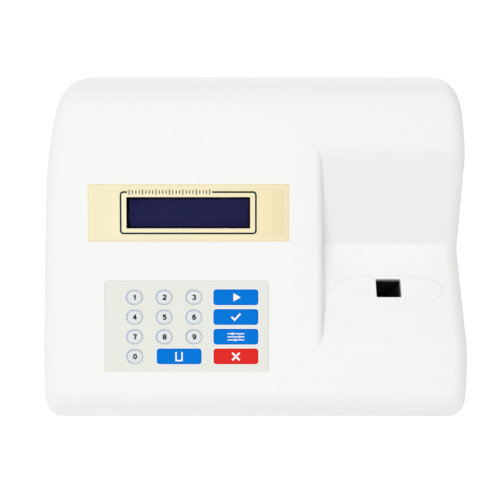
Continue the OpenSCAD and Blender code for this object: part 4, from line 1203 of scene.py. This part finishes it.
class METER_OT_rear(bpy.types.Operator):
    """Finishes the rear panel, the mains inlet, the fuse drawer and the switch"""

    bl_idname = "meter.rear"
    bl_label = "Rear"

    def execute(self, context):
        dress(
            "panel_aluminium",
            linear(196, 198, 201),
            0.4,
            "rear_panel",
            edge=0.0003,
            tone=0.05,
            tone_scale=60,
            metal=0.9,
            grain=0.15,
            grain_scale=900,
            stretch=(0.06, 1, 1),
        )
        moulded = ("mains_inlet", "switch_body", "fuse_drawer")
        dress("inlet_black", linear(28, 28, 30), 0.45, *moulded, edge=0.0005, tone=0.06, grain=0.15)
        dress("pin_steel", linear(205, 206, 208), 0.25, "inlet_pins", edge=0.0004, tone=0.03, metal=1)
        dress("fuse_glass", linear(214, 217, 222), 0.15, "fuse", tone=0.04, metal=0.6)
        red = linear(196, 30, 28)
        dress("rocker_red", red, 0.3, "switch_rocker", edge=0.0004, tone=0.03, coat=0.3)
        self.rocker_marks(finish("rocker_print", linear(245, 245, 243), 0.45, tone=0.02))
        steel = finish("screw_zinc", linear(190, 191, 194), 0.3, tone=0.05, metal=1.0)
        # Painted shade: the cross recesses are drawn in a darker steel where shade falls.
        dark = finish("screw_recess_shade", linear(90, 90, 94), 0.5, tone=0.05, metal=1.0)
        screw_heads("panel_screw_heads", "panel_screws", [steel, dark], on_rear(0, 0, 0))
        over = Matrix.Rotation(math.pi, 4, "X")
        screw_heads("cover_screw_heads", "cover_screws", [steel, dark], over)
        return {"FINISHED"}

    def rocker_marks(self, white):
        """A bar on the upper half of the rocker and a ring on the lower half."""
        pivot, tilt, line = (-0.023, 0.0975, 0.053), math.radians(10), 0.0005
        rest = Matrix.Translation(pivot) @ Matrix.Rotation(tilt, 4, "X")
        face_out, face_mid, half, proud = 0.0040, 0.0028, 0.0072, 0.00003
        bar, ring = [(0, -0.0016), (0, 0.0016)], arc(0, 0, 0.0014, 0.0014, 0, 360, 32)
        out = (face_out + face_mid) / 2 + proud
        lean = math.atan2(face_out - face_mid, half)
        bm = bmesh.new()
        for side in (1, -1):
            middle = rest @ Matrix.Translation((0, out, side * half / 2))
            place = middle @ Matrix.Rotation(side * -lean, 4, "X") @ on_rear(0, 0, 0)
            one = bmesh.new()
            ribbon(one, bar if side > 0 else ring, line)
            one.transform(place)
            add_mesh(bm, one)
        piece("rocker_marks", bm, [white], "switch_rocker_body")


class METER_OT_base(bpy.types.Operator):
    """Finishes the base plate and the feet"""

    bl_idname = "meter.base"
    bl_label = "Base"

    def execute(self, context):
        coat = {"tone": 0.04, "grain": 0.35, "grain_scale": 1500}
        dress("plate_coat", linear(170, 172, 174), 0.55, "base_plate", edge=0.0002, **coat)
        dress("foot_rubber", linear(34, 34, 35), 0.8, "rubber_feet", edge=0.0006, tone=0.1, grain=0.3)
        return {"FINISHED"}


# Inside


class METER_OT_inside(bpy.types.Operator):
    """Finishes the photometer, the boards and the mains parts inside the case"""

    bl_idname = "meter.inside"
    bl_label = "Inside"

    def execute(self, context):
        optics = ("cuvette_holder", "lens_tube", "detector_housing")
        dress("black_anodised", linear(20, 20, 22), 0.6, *optics, tone=0.1, grain=0.2)
        sprung = ("cuvette_spring", "snap_domes")
        dress("spring_steel", linear(200, 201, 204), 0.3, *sprung, tone=0.04, metal=1)
        alloy = {"tone": 0.04, "metal": 0.9, "grain": 0.1}
        dress("optics_alloy", linear(186, 188, 192), 0.4, "optics_plate", "lamp_housing", **alloy)
        dress("optical_glass", (0.92, 0.96, 0.98), 0.03, "condenser_lens", "beam_splitter", clear=1)
        dress("lamp_glass", (0.95, 0.96, 0.98), 0.05, "lamp_bulb", clear=0.9)
        dress("lamp_ceramic", linear(238, 235, 226), 0.6, "lamp_socket", tone=0.03, grain=0.1)
        dress("filter_glass", linear(52, 92, 190), 0.08, "colour_filters", tone=0.03, clear=0.5)
        dress("diode_gold", linear(196, 164, 92), 0.3, "photodiodes", tone=0.05, metal=1)
        boards = ("main_board", "lcd_board")
        dress("board_green", linear(28, 104, 62), 0.35, *boards, tone=0.08, tone_scale=200)
        dress("chip_black", linear(34, 34, 37), 0.5, "board_parts", tone=0.08, grain=0.1)
        posts = ("board_standoffs", "display_studs")
        dress("stud_brass", linear(204, 168, 88), 0.3, *posts, tone=0.05, metal=1)
        dress("inner_zinc", linear(188, 189, 192), 0.35, "inner_screws", tone=0.05, metal=1)
        dress("core_steel", linear(88, 91, 96), 0.45, "transformer_core", tone=0.08, metal=0.7)
        dress("coil_tape", linear(202, 158, 58), 0.4, "transformer_coil", tone=0.06)
        dress("diffuser", linear(238, 241, 238), 0.5, "lcd_backlight", tone=0.02)
        dress("ribbon_grey", linear(198, 198, 202), 0.45, "display_ribbon", tone=0.04)
        dress("spacer_film", linear(226, 227, 226), 0.5, "keypad_spacer", tone=0.02)
        films = ("keypad_circuit", "keypad_tail")
        dress("circuit_film", linear(190, 156, 76), 0.35, *films, tone=0.06)
        dress("block_white", linear(240, 240, 237), 0.5, "cover_blocks", tone=0.02)
        return {"FINISHED"}


# Stage


class METER_OT_stage(bpy.types.Operator):
    """Sets the floor, the soft light and the camera"""

    bl_idname = "meter.stage"
    bl_label = "Stage"

    AIM = Vector((0, 0, 0.06))
    LAMPS = (
        ("key_light", Vector((-0.23, -0.80, 1.80)), 1.0, 1.0, 12.6),
        ("rear_light", Vector((0, 0.62, 0.06)), 0.9, 0.1, 0.66),
    )
    SKY = (("X", 1, 0.25), ("Z", -1, 0.905))
    FLOOR_LIGHT, FLOOR_SEEN = 0.26, 0.4

    def execute(self, context):
        scene = context.scene
        scene.view_settings.view_transform = "Standard"
        self.floor(scene)
        self.world(scene)
        for name, place, wide, tall, power in self.LAMPS:
            lamp = bpy.data.lights.new(name, "AREA")
            lamp.shape = "RECTANGLE"
            lamp.size, lamp.size_y = wide, tall
            lamp.energy = power
            obj = bpy.data.objects.new(name, lamp)
            scene.collection.objects.link(obj)
            obj.location = place
            obj.rotation_euler = (self.AIM - place).to_track_quat("-Z", "Y").to_euler()
        self.camera(scene)
        return {"FINISHED"}

    def seen_ray(self, tree):
        """1 where the camera sees the backdrop, also in a mirror or through glass."""
        rays = add_node(tree, "LightPath")
        seen = rays["Is Camera Ray"]
        for name in ("Is Glossy Ray", "Is Transmission Ray"):
            seen = add_node(tree, "Math", {0: seen, 1: rays[name]}, operation="MAXIMUM")["Value"]
        return seen

    def floor(self, scene):
        """A white floor that glows a little, so that it meets the white sky."""
        bm = bmesh.new()
        bmesh.ops.create_grid(bm, x_segments=8, y_segments=8, size=3)
        mesh = bpy.data.meshes.new("floor")
        bm.to_mesh(mesh)
        bm.free()
        made = finish("floor_white", (0.8, 0.8, 0.8), 0.9, tone=0.004, tone_scale=2, gloss=0)
        tree = made.node_tree
        levels = {"Factor": self.seen_ray(tree), "A": self.FLOOR_LIGHT, "B": self.FLOOR_SEEN}
        strength = add_node(tree, "Mix", levels)["Result"]
        glow = {"Emission Color": (1, 1, 1, 1), "Emission Strength": strength}
        feed(tree, tree.nodes["Principled BSDF"], glow)
        mesh.materials.append(made)
        floor = bpy.data.objects.new("floor", mesh)
        scene.collection.objects.link(floor)

    def world(self, scene):
        """A soft light from above and from the left, in front of a white sky."""
        sky = bpy.data.worlds.new("studio")
        scene.world = sky
        sky.use_nodes = True
        tree = sky.node_tree
        toward = add_node(tree, "NewGeometry")["Incoming"]
        axes = add_node(tree, "SeparateXYZ", {"Vector": toward})
        sides = {}
        for k, (axis, end, share) in enumerate(self.SKY):
            side = {"Value": axes[axis], "From Max": end, "To Max": share}
            sides[k] = add_node(tree, "MapRange", side)["Result"]
        soft = add_node(tree, "Math", sides, operation="ADD")["Value"]
        levels = {"Factor": self.seen_ray(tree), "A": soft, "B": 1.0}
        light = {"Color": (1, 1, 1, 1), "Strength": add_node(tree, "Mix", levels)["Result"]}
        feed(tree, tree.nodes["Background"], light)

    def camera(self, scene):
        """The photograph's view, on a point of the deck."""
        tilt, distance, lens_px, picture_px = math.radians(68.945), 0.4685, 732.1, 500
        aim_x, aim_u = -0.00355, 0.10103
        target = on_deck(scene.meter_case, aim_x, aim_u).translation
        view = Vector((0, math.cos(tilt), -math.sin(tilt)))
        lens = bpy.data.cameras.new("camera")
        lens.sensor_width = 36
        lens.lens = lens_px / picture_px * lens.sensor_width
        lens.clip_start = 0.01
        camera = bpy.data.objects.new("camera", lens)
        scene.collection.objects.link(camera)
        camera.location = target - view * distance
        camera.rotation_euler = (math.pi / 2 - tilt, 0, 0)
        scene.camera = camera


# Sidebar and registration


class METER_PT_pieces(bpy.types.Panel):
    """Lists the pieces of the meter"""

    bl_label = "Bilirubin meter"
    bl_idname = "METER_PT_pieces"
    bl_space_type = "VIEW_3D"
    bl_region_type = "UI"
    bl_category = "Meter"

    def draw(self, context):
        for operator in OPERATORS:
            self.layout.operator(operator.bl_idname)


GROUPS = (
    ("meter_case", MeterCase),
    ("meter_bay", MeterBay),
    ("meter_face", MeterFace),
    ("meter_colours", MeterColours),
)
OPERATORS = (
    METER_OT_cover,
    METER_OT_display,
    METER_OT_keypad,
    METER_OT_rear,
    METER_OT_base,
    METER_OT_inside,
    METER_OT_stage,
)
CLASSES = (*(group for _, group in GROUPS), *OPERATORS, METER_PT_pieces)


def register():
    for made in CLASSES:
        bpy.utils.register_class(made)
    for name, group in GROUPS:
        setattr(bpy.types.Scene, name, PointerProperty(type=group))


def unregister():
    for name, _ in GROUPS:
        delattr(bpy.types.Scene, name)
    for made in reversed(CLASSES):
        bpy.utils.unregister_class(made)


def main():
    register()
    bpy.ops.meter.cover()
    bpy.ops.meter.display()
    bpy.ops.meter.keypad()
    bpy.ops.meter.rear()
    bpy.ops.meter.base()
    bpy.ops.meter.inside()
    bpy.ops.meter.stage()


if __name__ == "__main__":
    main()
